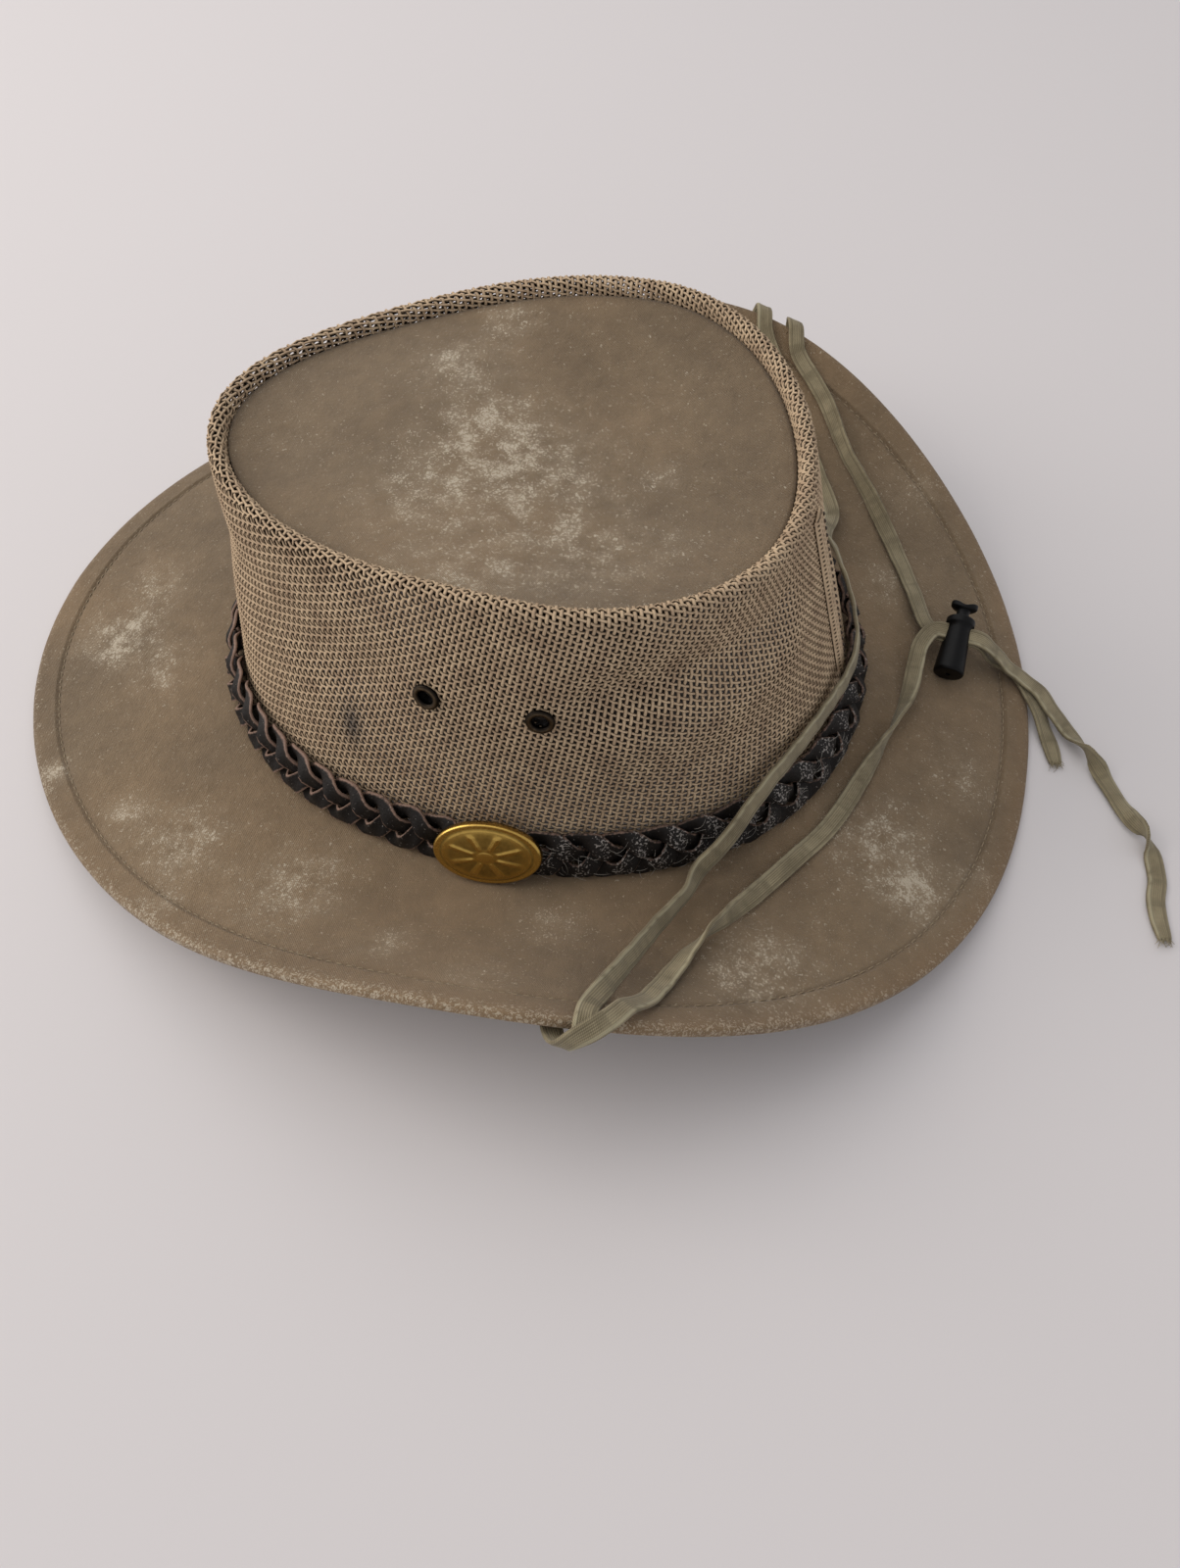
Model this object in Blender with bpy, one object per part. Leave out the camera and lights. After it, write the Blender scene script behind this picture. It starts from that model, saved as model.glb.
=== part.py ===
"""A wide-brim sun hat: a mesh crown with a sunk canvas tip, a curled two-layer brim, a braided
band with an oval badge, vent eyelets and a flat chin strap with a sliding lock.

Metres, +Z up. The hat's front is -Y and its back seam is at +Y. The wearer's left is +X. Places
around the hat are given as a turn, in degrees from the back seam (+Y) towards the wearer's left.
"""

import math

import bmesh
import bpy
from mathutils import Matrix, Vector

# Brim: its reaches are measured from the line where the hat is widest.
BRIM_HALF_WIDTH = 0.149
BRIM_BACK = 0.165
BRIM_FRONT = 0.182
BRIM_SQUARENESS_BACK = 2.19
BRIM_SQUARENESS_FRONT = 2.01
BRIM_SIDE_CURL = 0.054
CURL_SHARPNESS = 2.65
CURL_BACKWARD_LEAN = 0.22
CURL_FRONT_EASE = 0.085
CURL_HOLLOW = 0.9
BRIM_THICKNESS = 0.0024
HEM_THICKNESS = 0.0034
HEM_WIDTH = 0.0095
HEM_GROOVE = 0.0005
HEM_PRESSED_FLAT = 0.0007
HEM_GROOVE_WIDTH = 0.0013
HEM_SHOULDER = 0.0022

# Crown foot, where the mesh wall stands on the brim.
CROWN_HALF_WIDTH = 0.087
CROWN_HALF_LENGTH = 0.1025
CROWN_SQUARENESS = 2.11
FOOT_HEIGHT = 0.0149
FOOT_SIDE_RISE = 0.0059
FOOT_BACK_RISE = 0.0025

# Crown tip, the sunk canvas panel that closes the top.
TIP_HALF_WIDTH = 0.0661
TIP_BACK = 0.0567
TIP_FRONT = 0.1126
TIP_SQUARENESS_BACK = 2.0
TIP_SQUARENESS_FRONT = 1.9
TIP_SHIFT_BACK = 0.0192
TIP_HEIGHT = 0.0952
TIP_SIDE_RISE = 0.0124
TIP_SAG = 0.003
TIP_DISH = 2.2
TIP_THICKNESS = 0.0018

# Mesh wall, the roll that it makes round the tip, and its back seam.
WALL_THICKNESS = 0.0012
ROLL_RADIUS = 0.0028
ROLL_OFFSET = 0.0016
ROLL_TUCK = 0.0042
SEAM_WIDTH = 0.0070
SEAM_HEIGHT = 0.0014
SEAM_EDGE = 0.0002
SEAM_TOP_SHARE = 0.4
SEAM_LOWEST = 0.24
SEAM_HIGHEST = 0.97

# Braided band.
BRAID_PERIODS = 18
STRAND_WIDTH = 0.0042
STRAND_THICKNESS = 0.0010
BRAID_SWING = 0.0054
BRAID_WEAVE = 0.0015
STRAND_ROLL = 0.4
BRAID_LEAN = 0.12
BRAID_STANDOFF = 0.0035
BAND_FRAME_SHARE = 0.08

# Badge.
BADGE_WIDTH = 0.032
BADGE_HEIGHT = 0.0204
BADGE_DOME = 0.0026
BADGE_PLATE = 0.0010
BADGE_TURN = 82.5
BADGE_TILT = 14.0
BADGE_LIFT = 0.0100
BADGE_STANDOFF = 0.0074
BADGE_RAYS = 8
BADGE_RELIEF = 0.0005

# Vent eyelets.
EYELET_FLANGE_RADIUS = 0.0045
EYELET_HOLE_RADIUS = 0.0021
EYELET_BARREL_WALL = 0.0008
EYELET_FLANGE = 0.0007
EYELET_ROUNDING = 0.0004
EYELET_HEIGHT_SHARE = 0.645
EYELET_TURNS = {
    "left_rear": 80.8,
    "left_front": 104.4,
    "right_rear": -80.8,
    "right_front": -104.4,
}

# Chin strap, the tabs that hold it under the brim, and its lock.
TAPE_WIDTH = 0.0064
TAPE_THICKNESS = 0.0012
TAB_TURNS = {"left": 69.0, "right": -71.8}
TAB_WIDTH = 0.009
TAB_THICKNESS = 0.0010
TAB_SHARE = 0.22
TAB_FOOT = 0.0048
TAB_BEND = 0.0012
TAB_LEG_ROOM = 0.0016
TAPE_SPACING = 0.0100
TAPE_CLEARANCE = 0.0005
TAPE_STEP = 0.010
LOCK_RADIUS = 0.0051
LOCK_WAIST_RADIUS = 0.0043
LOCK_SHOULDER_RADIUS = 0.0048
LOCK_BEVEL = 0.0007
LOCK_FLATNESS = 0.92
LOCK_BARREL_LENGTH = 0.021
LOCK_BORE_RADIUS = 0.0031
LOCK_FLOOR = 0.0025
LOCK_SHOULDER = 0.0021
LOCK_SLOT_CENTRE = 0.015
LOCK_SLOT_ROOM = 0.0005
LOCK_STRAIGHT_RUN = 0.0074
PLUNGER_CLEARANCE = 0.0004
PLUNGER_NECK = 0.0040
PLUNGER_CAP = 0.0022
PLUNGER_CAP_RADIUS = 0.0042
PLUNGER_BEVEL = 0.0006
PLUNGER_TRAVEL = 0.0035
LOCK_FOOT = (-0.0240, 0.1423, 0.0147)
LOCK_TILT = 15.0
LOCK_TURN = -87.0

GAP = 0.0003
SLOPE_STEP = 0.002
STATIONS = 56
EYELET_SIDES = 10
LOCK_SIDES = 14
SEAM_SECTIONS = 7
WIDEST_Y = (BRIM_FRONT - BRIM_BACK) / 2

# The band reaches highest where a thong's section stands at the top station of its swing.
BRAID_PITCH = math.pi * (CROWN_HALF_WIDTH + CROWN_HALF_LENGTH) / BRAID_PERIODS
BRAID_SLOPE = 2 * math.pi * BRAID_SWING / BRAID_PITCH
BRAID_TOP_STATION = 60
BRAID_STATIONS = (30, 60, 120, 150, 210, 240, 300, 330)
BAND_HALF_HEIGHT = BRAID_SWING * math.sin(math.radians(BRAID_TOP_STATION)) + (
    STRAND_WIDTH / 2 * math.hypot(1, BRAID_SLOPE * math.cos(math.radians(BRAID_TOP_STATION)))
)

# Where the sections have their corners. The brim's and the tip's are shares of the way out, and
# the brim's normal is taken no nearer its edge than the last share. The wall's are shares of its
# height, then degrees round the roll, and its normal is taken a little in from either end.
BRIM_SHARES = (0.25, 0.45, 0.62, 0.75)
BRIM_LAST_SHARE = 0.995
TIP_SHARES = (0.3, 0.58, 0.82, 1.0)
WALL_SHARES = (0, 0.2, 0.4, 0.56, 0.7, 0.84, 1)
WALL_END_SHARE = 0.01
ROLL_DEGREES = (50, 110, 180)

# The hem's rounded edge: shares of the hem's thickness.
HEM_ROUND = (
    # in_from_edge, thickness
    (0.8, 1.0),
    (0.2, 0.9),
    (0.0, 0.4),
)

# Soft folds in the mesh wall: each runs from one place to another. Heights are shares of the
# wall's height; reach and depth are shares of the crown's half width, and a depth above 0 swells.
WALL_FOLDS = (
    # turn_a, height_a, turn_b, height_b, reach, depth
    (24, 0.86, 70, 0.72, 0.090, -0.032),
    (22, 0.64, 62, 0.52, 0.110, 0.016),
    (120, 0.62, 165, 0.70, 0.140, -0.020),
    (-60, 0.78, -20, 0.70, 0.120, -0.024),
    (-155, 0.50, -122, 0.62, 0.130, -0.018),
)

# Places where the rim is pushed in, or out where the depth is below 0: reach in degrees, depth as
# a share of the tip's half width.
RIM_PULLS = (
    # turn, reach, depth
    (-122, 20, -0.011),
    (-156, 15, 0.014),
    (178, 13, 0.010),
)

# Soft hollows in the tip: place as a turn and a share of the way out, reach as a share of the
# tip's half width, depth as a share of its sag. A depth below 0 is a soft rise.
TIP_HOLLOWS = (
    # turn, share_out, reach, depth
    (170, 0.86, 0.26, 0.8),
    (205, 0.45, 0.34, -0.5),
    (60, 0.50, 0.50, 0.6),
    (-70, 0.55, 0.40, 0.5),
)

# The chin strap's route, laid by hand. Face is where the tape's face looks, in degrees: 0 is away
# from the brim's upper face, or straight up off the brim, 90 is level and 180 is under. Roll turns
# the tape about its own run, so that it stands on one edge, with a half twist where it passes 90.
# Lift, up and out are in millimetres: lift above where the tape would lie, up the wall, out from it.
LEFT_STRAP_TO_LOCK = (
    # turn, share_out, face, lift, roll
    (71.7, 0.140, 180, 0, 0),
    (71.7, 0.220, 180, 0, 0),
    (71.7, 0.400, 180, 0, 0),
    (71.7, 0.600, 180, 0, 0),
    (71.7, 0.800, 180, 0, 0),
    (71.7, 0.920, 180, 0.6, 0),
    (70.9, 0.985, 140, 2.7, 0),
    (69.4, 0.995, 90, 3.3, 0),
    (67.3, 0.990, 50, 3.8, 0),
    (65.1, 0.950, 14, 3.0, 0),
    (62.8, 0.880, 0, 0.9, 0),
    (59.6, 0.736, 0, 0, -8),
    (55.4, 0.588, 0, 0, -36),
    (51.6, 0.495, 0, 0, -85),
    (45.5, 0.389, 0, 0, -138),
    (39.6, 0.313, 0, 0, -160),
    (32.9, 0.256, 0, 0, -172),
    (26.2, 0.230, 0, 0, -178),
    (20.6, 0.210, 0, 0, -175),
    (14.5, 0.196, 0, 0, -165),
    (8.0, 0.208, 0, 0, -130),
    (1.5, 0.250, 0, 0, -85),
    (-5.0, 0.300, 0, 0.8, -45),
    (-10.8, 0.335, 0, 2.4, -15),
    (-14.6, 0.370, 0, 5.2, 0),
)
LEFT_TAIL_ON_BRIM = (
    # turn, share_out, face, lift, roll
    (-14.5, 0.770, 0, 7.2, 0),
    (-13.5, 0.865, 0, 3.4, 0),
    (-12.7, 0.950, 0, 1.9, 0),
)
LEFT_TAIL = (
    # x, y, z, face, towards
    (-31.6, 174.4, 6.5, 5, 0),
    (-25.1, 180.2, 4.7, 10, 0),
    (-19.4, 186.0, 3.0, 10, 0),
    (-14.5, 189.8, 3.9, 45, 0),
    (-11.1, 192.5, 5.0, 90, 0),
    (-8.0, 195.2, 3.6, 135, 0),
    (-3.6, 198.9, 1.2, 180, 0),
    (4.3, 203.8, 1.2, 180, 0),
    (11.2, 207.3, 3.6, 135, -30),
    (14.9, 209.9, 5.0, 90, -30),
    (17.6, 211.9, 3.6, 45, -30),
    (21.6, 213.9, 1.2, 0, 0),
    (29.0, 215.4, 0.9, 0, 0),
    (38.9, 215.2, 0.9, 0, 0),
    (50.0, 217.8, 0.9, 0, 0),
)
RIGHT_STRAP_TO_LOCK = (
    # turn, share_out, face, lift, roll
    (-69.0, 0.140, 180, 0, 0),
    (-69.0, 0.220, 180, 0, 0),
    (-69.0, 0.400, 180, 0, 0),
    (-69.0, 0.600, 180, 0, 0),
    (-69.0, 0.800, 180, 0, 0),
    (-69.0, 0.920, 180, 0.2, 0),
    (-69.2, 0.988, 140, 0.5, 0),
    (-69.4, 1.000, 90, 0, 0),
    (-68.6, 0.988, 40, 0.5, 0),
    (-66.6, 0.920, 0, 0.3, 0),
    (-62.4, 0.850, 0, 0, 5),
    (-58.8, 0.790, 0, 0, 20),
    (-52.1, 0.655, 0, 0, 55),
    (-44.2, 0.566, 0, 0, 50),
    (-36.0, 0.505, 0, 0, 12),
    (-29.3, 0.475, 0, 0.4, 0),
    (-24.4, 0.455, 0, 1.6, 0),
    (-20.2, 0.440, 0, 3.0, 0),
)
RIGHT_TAIL_ON_BRIM = (
    # turn, share_out, face, lift, roll
    (-14.9, 0.777, 0, 3.0, 0),
    (-14.1, 0.885, 0, 1.2, 0),
    (-13.2, 0.950, 0, 0.2, 0),
    (-11.7, 0.985, 0, 0.2, 0),
)
RIGHT_TAIL = (
    # x, y, z, face, towards
    (-27.6, 173.9, 4.6, 10, 0),
    (-21.0, 177.4, 2.4, 20, 0),
    (-14.0, 180.6, 1.0, 0, 0),
    (-7.4, 182.7, 1.0, 0, 0),
)
REAR_STRAP_NEAR_SIDE = (
    # turn, share_out, face, lift, roll
    (66.2, 0.140, 180, 0, 0),
    (66.2, 0.220, 180, 0, 0),
    (66.2, 0.400, 180, 0, 0),
    (66.2, 0.600, 180, 0, 0),
    (66.2, 0.800, 180, 0, 0),
    (67.4, 0.920, 180, 0.3, 0),
    (68.7, 0.988, 140, 0.6, 0),
    (69.0, 1.000, 90, 0, 0),
    (69.0, 0.988, 40, 0.5, 0),
    (68.4, 0.934, 0, 0.3, 8),
    (66.0, 0.787, 0, 0, 46),
    (62.6, 0.620, 0, 0, 60),
    (57.4, 0.424, 0, 0, 67),
    (51.8, 0.275, 0, 0, 74),
)
REAR_STRAP_BEHIND_CROWN = (
    # turn, up, out, face
    (46.8, 4.5, 11.5, 70),
    (42.8, 9.5, 10.2, 75),
    (39.4, 14.0, 8.6, 78),
    (35.8, 17.5, 6.8, 80),
    (31.0, 20.5, 5.0, 82),
    (25.0, 22.3, 3.6, 84),
    (18.0, 23.0, 2.8, 86),
    (11.0, 22.5, 2.9, 88),
    (3.5, 21.5, 4.2, 90),
    (-4.0, 20.5, 5.0, 90),
    (-11.0, 19.7, 4.4, 90),
    (-18.0, 18.9, 4.2, 88),
    (-25.0, 17.4, 4.8, 84),
    (-31.5, 13.8, 7.2, 70),
    (-37.0, 9.2, 9.6, 50),
)
REAR_STRAP_FAR_SIDE = (
    # turn, share_out, face, lift, roll
    (-44.4, 0.331, 0, 0.5, -10),
    (-52.0, 0.460, 0, 0, 0),
    (-60.0, 0.621, 0, 0, 0),
    (-66.5, 0.781, 0, 0, 0),
    (-71.7, 0.921, 0, 0.4, 0),
    (-73.4, 0.988, 40, 0.5, 0),
    (-74.0, 1.000, 90, 0, 0),
    (-74.3, 0.988, 140, 0.5, 0),
    (-74.6, 0.920, 180, 0.3, 0),
    (-74.6, 0.800, 180, 0, 0),
    (-74.6, 0.600, 180, 0, 0),
    (-74.6, 0.400, 180, 0, 0),
    (-74.6, 0.220, 180, 0, 0),
    (-74.6, 0.140, 180, 0, 0),
)


def superellipse(turn, half_width, back, front, power_back, power_front):
    """The point at this turn on an oval whose back and front halves differ in reach and power."""
    s, c = math.sin(turn), math.cos(turn)
    reach, power = (back, power_back) if c > 0 else (front, power_front)
    r = (abs(s / half_width) ** power + abs(c / reach) ** power) ** (-1 / power)
    return r * s, r * c


def foot_point(turn, offset=0.0):
    """A point on the crown's foot line, on the brim's upper face, moved outward by offset."""
    length = CROWN_HALF_LENGTH + offset
    x, y = superellipse(
        turn, CROWN_HALF_WIDTH + offset, length, length, CROWN_SQUARENESS, CROWN_SQUARENESS
    )
    z = FOOT_HEIGHT + FOOT_SIDE_RISE * math.sin(turn) ** 2 + FOOT_BACK_RISE * math.cos(turn)
    return Vector((x, y + WIDEST_Y, z))


def edge_point(turn):
    """A point on the middle of the brim's edge, which curls up at the sides."""
    x, y = superellipse(
        turn,
        BRIM_HALF_WIDTH,
        BRIM_BACK,
        BRIM_FRONT,
        BRIM_SQUARENESS_BACK,
        BRIM_SQUARENESS_FRONT,
    )
    leaned = turn + CURL_BACKWARD_LEAN * math.sin(turn) - CURL_FRONT_EASE * math.sin(2 * turn)
    rise = BRIM_SIDE_CURL * abs(math.sin(leaned)) ** CURL_SHARPNESS
    return Vector((x, y + WIDEST_Y, HEM_THICKNESS / 2 - HEM_PRESSED_FLAT + rise))


def brim_point(turn, share):
    """A point on the brim's middle surface, share of the way from the crown's foot to the edge."""
    foot = foot_point(turn) - Vector((0, 0, BRIM_THICKNESS / 2))
    edge = edge_point(turn)
    point = foot.lerp(edge, share)
    hollow = 1 + CURL_HOLLOW * math.sin(turn) ** 2
    point.z = foot.z + (edge.z - foot.z) * max(share, 0) ** hollow
    return point


def brim_normal(turn, share):
    """The way the brim's upper face looks."""
    small = SLOPE_STEP
    around = brim_point(turn + small, share) - brim_point(turn - small, share)
    out = brim_point(turn, share + small) - brim_point(turn, max(share - small, 0))
    return out.cross(around).normalized() * -1


def rim_pull(turn):
    """How far the rim is pushed in at this turn."""
    pull = 0
    for at, reach, depth in RIM_PULLS:
        away = (math.degrees(turn) - at + 180) % 360 - 180
        pull += depth * TIP_HALF_WIDTH * math.exp(-((away / reach) ** 2))
    return pull


def tip_point(turn, offset=0.0):
    """A point on the tip's outline, moved outward by offset."""
    offset -= rim_pull(turn)
    x, y = superellipse(
        turn,
        TIP_HALF_WIDTH + offset,
        TIP_BACK + offset,
        TIP_FRONT + offset,
        TIP_SQUARENESS_BACK,
        TIP_SQUARENESS_FRONT,
    )
    z = TIP_HEIGHT + TIP_SIDE_RISE * math.sin(turn) ** 2
    return Vector((x, y + WIDEST_Y + TIP_SHIFT_BACK, z))


def fold_depth(turn, share):
    """How far the wall swells (above 0) or sinks at this place."""
    height = TIP_HEIGHT - FOOT_HEIGHT
    total = 0
    for turn_a, height_a, turn_b, height_b, reach, depth in WALL_FOLDS:
        a = Vector((math.radians(turn_a) * CROWN_HALF_WIDTH, height_a * height))
        b = Vector((math.radians(turn_b) * CROWN_HALF_WIDTH, height_b * height))
        turned = (turn + math.pi) % (2 * math.pi) - math.pi
        here = Vector((turned * CROWN_HALF_WIDTH, share * height))
        along = min(max((here - a).dot(b - a) / (b - a).length_squared, 0), 1)
        away = (here - a.lerp(b, along)).length / (reach * CROWN_HALF_WIDTH)
        total += depth * CROWN_HALF_WIDTH * math.exp(-away * away)
    return total * math.sin(math.pi * min(max(share, 0), 1)) ** 0.5


def wall_point(turn, share):
    """A point on the outer face of the mesh wall, share of the way from its foot to the roll."""
    foot = foot_point(turn)
    top = tip_point(turn, ROLL_OFFSET + ROLL_RADIUS)
    top.z += ROLL_OFFSET
    out = Vector((math.sin(turn), math.cos(turn), 0))
    return foot.lerp(top, share) + out * fold_depth(turn, share)


def wall_frame(turn, share):
    """Unit vectors at a place on the wall: around it, up it, and out of its face."""
    small = SLOPE_STEP
    around = (wall_point(turn + small, share) - wall_point(turn - small, share)).normalized()
    up = (wall_point(turn, share + small) - wall_point(turn, share - small)).normalized()
    out = up.cross(around).normalized()
    return around, out.cross(around).normalized() * -1, out


def material(name, colour, roughness, metallic=0.0):
    """A plain Principled BSDF in this colour, given as an sRGB hex number."""
    made = bpy.data.materials.new(name)
    made.use_nodes = True
    shader = made.node_tree.nodes["Principled BSDF"]
    channels = [(colour >> shift & 255) / 255 for shift in (16, 8, 0)]
    linear = [c / 12.92 if c < 0.04045 else ((c + 0.055) / 1.055) ** 2.4 for c in channels]
    shader.inputs["Base Color"].default_value = (*linear, 1)
    shader.inputs["Roughness"].default_value = roughness
    shader.inputs["Metallic"].default_value = metallic
    return made


def mesh_object(name, points, faces, finish, sharp_degrees=35):
    """An object made from points and faces, its faces turned outward and its round parts smooth."""
    mesh = bpy.data.meshes.new(name)
    mesh.from_pydata([tuple(p) for p in points], [], faces)
    shaped = bmesh.new()
    shaped.from_mesh(mesh)
    bmesh.ops.recalc_face_normals(shaped, faces=shaped.faces)
    shaped.to_mesh(mesh)
    shaped.free()
    mesh.shade_smooth()
    mesh.set_sharp_from_angle(angle=math.radians(sharp_degrees))
    mesh.materials.append(finish)
    made = bpy.data.objects.new(name, mesh)
    bpy.context.scene.collection.objects.link(made)
    return made


def ring_faces(stations, around):
    """Quads of a closed ring: stations sections one after another, each a loop of points."""
    faces = []
    for i in range(stations):
        j = (i + 1) % stations
        for k in range(around):
            m = (k + 1) % around
            faces.append((i * around + k, j * around + k, j * around + m, i * around + m))
    return faces


def ring_object(name, sections, finish):
    """A closed ring through these sections, each a list of as many points."""
    points = [p for section in sections for p in section]
    return mesh_object(name, points, ring_faces(len(sections), len(sections[0])), finish)


def cut_away(body, name, points, faces):
    """Cuts a closed solid, made of these points and faces, out of body."""
    cutter = mesh_object(name, points, faces, body.data.materials[0])
    cutter.hide_render = True
    cutter.display_type = "WIRE"
    boolean = body.modifiers.new(name, "BOOLEAN")
    boolean.operation = "DIFFERENCE"
    boolean.solver = "EXACT"
    boolean.object = cutter


def turned_points(profile, sides, place, flatness=1.0):
    """Points of a profile of (radius, height) turned about place's own Z axis, ring by ring."""
    points = []
    for radius, height in profile:
        for i in range(sides):
            a = 2 * math.pi * i / sides
            points.append(
                place @ Vector((radius * math.cos(a), flatness * radius * math.sin(a), height))
            )
    return points


def turned_faces(rings, sides):
    """Quads between the rings of turned_points, closed by a flat face at either end."""
    faces = []
    for k in range(rings - 1):
        for i in range(sides):
            j = (i + 1) % sides
            faces.append(
                (k * sides + i, k * sides + j, (k + 1) * sides + j, (k + 1) * sides + i)
            )
    faces.append(tuple(range(sides)))
    faces.append(tuple(range((rings - 1) * sides, rings * sides)))
    return faces


def placed(origin, x_axis, y_axis, z_axis):
    """The matrix that carries an object's own axes to these ones at origin."""
    rows = [(x_axis[i], y_axis[i], z_axis[i], origin[i]) for i in range(3)]
    return Matrix((*rows, (0, 0, 0, 1)))


def turn_of(station):
    """The turn of one of the stations round the hat, in radians."""
    return 2 * math.pi * station / STATIONS


def brim_section(turn):
    """One section through the brim: out along its upper face, round the hem, back underneath."""
    width = (edge_point(turn) - foot_point(turn)).length
    hem = 1 - HEM_WIDTH / width
    inner = -WALL_THICKNESS / width
    plain = (inner, *BRIM_SHARES, hem - HEM_GROOVE_WIDTH / width)
    # share, thickness
    rows = [(share, BRIM_THICKNESS) for share in plain]
    rows.append((hem, BRIM_THICKNESS - 2 * HEM_GROOVE))
    rows.append((hem + HEM_SHOULDER / width, HEM_THICKNESS))
    for in_from_edge, thickness in HEM_ROUND:
        rows.append((1 - in_from_edge * HEM_THICKNESS / width, thickness * HEM_THICKNESS))
    upper, under = [], []
    for share, thickness in rows:
        middle = brim_point(turn, share)
        half = brim_normal(turn, min(share, BRIM_LAST_SHARE)) * thickness / 2
        below = middle - half
        upper.append(middle + half)
        under.append(Vector((below.x, below.y, max(below.z, 0))))
    return upper + under[::-1]


def make_brim(canvas):
    """The brim: two layers of canvas with a stitched hem, flat where it rests front and back."""
    sections = [brim_section(turn_of(i)) for i in range(STATIONS)]
    return ring_object("brim", sections, canvas)


def wall_section(turn):
    """One section through the wall: up its outer face, over the roll, and back down inside."""
    middle = []
    lift = Vector((0, 0, 2 * GAP))
    for share in WALL_SHARES:
        out = wall_frame(turn, min(max(share, WALL_END_SHARE), 1 - WALL_END_SHARE))[2]
        point = wall_point(turn, share) - out * WALL_THICKNESS / 2
        middle.append((point + lift * (1 - share), out))
    away = Vector((math.sin(turn), math.cos(turn), 0))
    up = Vector((0, 0, 1))
    radius = ROLL_RADIUS - WALL_THICKNESS / 2
    for degrees in ROLL_DEGREES:
        a = math.radians(degrees)
        out = away * math.cos(a) + up * math.sin(a)
        middle.append((tip_point(turn, ROLL_OFFSET) + up * ROLL_OFFSET + out * radius, out))
    last, out = middle[-1]
    middle.append((last - up * (ROLL_OFFSET + ROLL_TUCK), out))
    outer = [point + out * WALL_THICKNESS / 2 for point, out in middle]
    inner = [point - out * WALL_THICKNESS / 2 for point, out in middle]
    return outer + inner[::-1]


def make_wall(mesh_cloth):
    """The mesh wall with its roll, cut through where the eyelets go."""
    sections = [wall_section(turn_of(i)) for i in range(STATIONS)]
    wall = ring_object("crown_mesh_wall", sections, mesh_cloth)
    radius = EYELET_HOLE_RADIUS + EYELET_BARREL_WALL + GAP
    reach = 4 * WALL_THICKNESS
    profile = ((radius, -reach), (radius, reach))
    for side, turn in EYELET_TURNS.items():
        points = turned_points(profile, EYELET_SIDES, eyelet_place(turn))
        cut_away(wall, "eyelet_hole_" + side, points, turned_faces(len(profile), EYELET_SIDES))
    return wall


def eyelet_place(turn):
    """The frame of an eyelet: Z out of the wall's outer face, at the hole's centre."""
    turn = math.radians(turn)
    around, up, out = wall_frame(turn, EYELET_HEIGHT_SHARE)
    return placed(wall_point(turn, EYELET_HEIGHT_SHARE), around, up, out)


def make_eyelet(name, turn, metal):
    """A vent eyelet: a barrel through the wall with a flange on either side of the mesh."""
    barrel = EYELET_HOLE_RADIUS + EYELET_BARREL_WALL
    bulge = EYELET_FLANGE_RADIUS**2 / CROWN_HALF_WIDTH
    outside = GAP
    inside = -WALL_THICKNESS - GAP - bulge
    profile = (
        (EYELET_HOLE_RADIUS, inside - EYELET_FLANGE),
        (EYELET_FLANGE_RADIUS, inside - EYELET_FLANGE),
        (EYELET_FLANGE_RADIUS, inside),
        (barrel, inside),
        (barrel, outside),
        (EYELET_FLANGE_RADIUS, outside),
        (EYELET_HOLE_RADIUS + EYELET_ROUNDING, outside + EYELET_FLANGE),
    )
    rings = turned_points(profile, EYELET_SIDES, eyelet_place(turn))
    sections = [rings[i::EYELET_SIDES] for i in range(EYELET_SIDES)]
    return ring_object(name, sections, metal)


def make_seam(mesh_cloth):
    """The back seam's ridge, standing against the wall from the band up to the roll."""
    sections = []
    for i in range(SEAM_SECTIONS):
        share = SEAM_LOWEST + (SEAM_HIGHEST - SEAM_LOWEST) * i / (SEAM_SECTIONS - 1)
        around, _, out = wall_frame(0, share)
        base = wall_point(0, share)
        half = SEAM_WIDTH / 2
        inner = half - SEAM_EDGE
        # across the ridge, out of the wall
        shape = (
            (-half, GAP + SEAM_EDGE),
            (-half * SEAM_TOP_SHARE, GAP + SEAM_HEIGHT),
            (half * SEAM_TOP_SHARE, GAP + SEAM_HEIGHT),
            (half, GAP + SEAM_EDGE),
            (inner, GAP),
            (-inner, GAP),
        )
        sections.append([base + around * x + out * height for x, height in shape])
    return tube_object("back_seam", sections, mesh_cloth)


def tube_object(name, sections, finish):
    """A closed solid through these sections, each a loop of as many points, with flat ends."""
    around = len(sections[0])
    points = [p for section in sections for p in section]
    faces = []
    for i in range(len(sections) - 1):
        for k in range(around):
            m = (k + 1) % around
            a, b = i * around, (i + 1) * around
            faces.append((a + k, b + k, b + m, a + m))
    faces.append(tuple(range(around)))
    faces.append(tuple(range(len(points) - around, len(points))))
    return mesh_object(name, points, faces, finish)


def tip_height(turn, share):
    """Height of the tip's upper face, share of the way from its middle to its outline."""
    edge = tip_point(turn).z
    middle = TIP_HEIGHT + TIP_SIDE_RISE / 2 - TIP_SAG
    height = middle + (edge - middle) * share**TIP_DISH
    here = Vector(tip_place(turn, share))
    for at, out, reach, depth in TIP_HOLLOWS:
        away = (here - Vector(tip_place(math.radians(at), out))).length
        away /= reach * TIP_HALF_WIDTH
        height -= depth * TIP_SAG * math.exp(-away * away) * (1 - share ** (3 * TIP_DISH))
    return height


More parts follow.
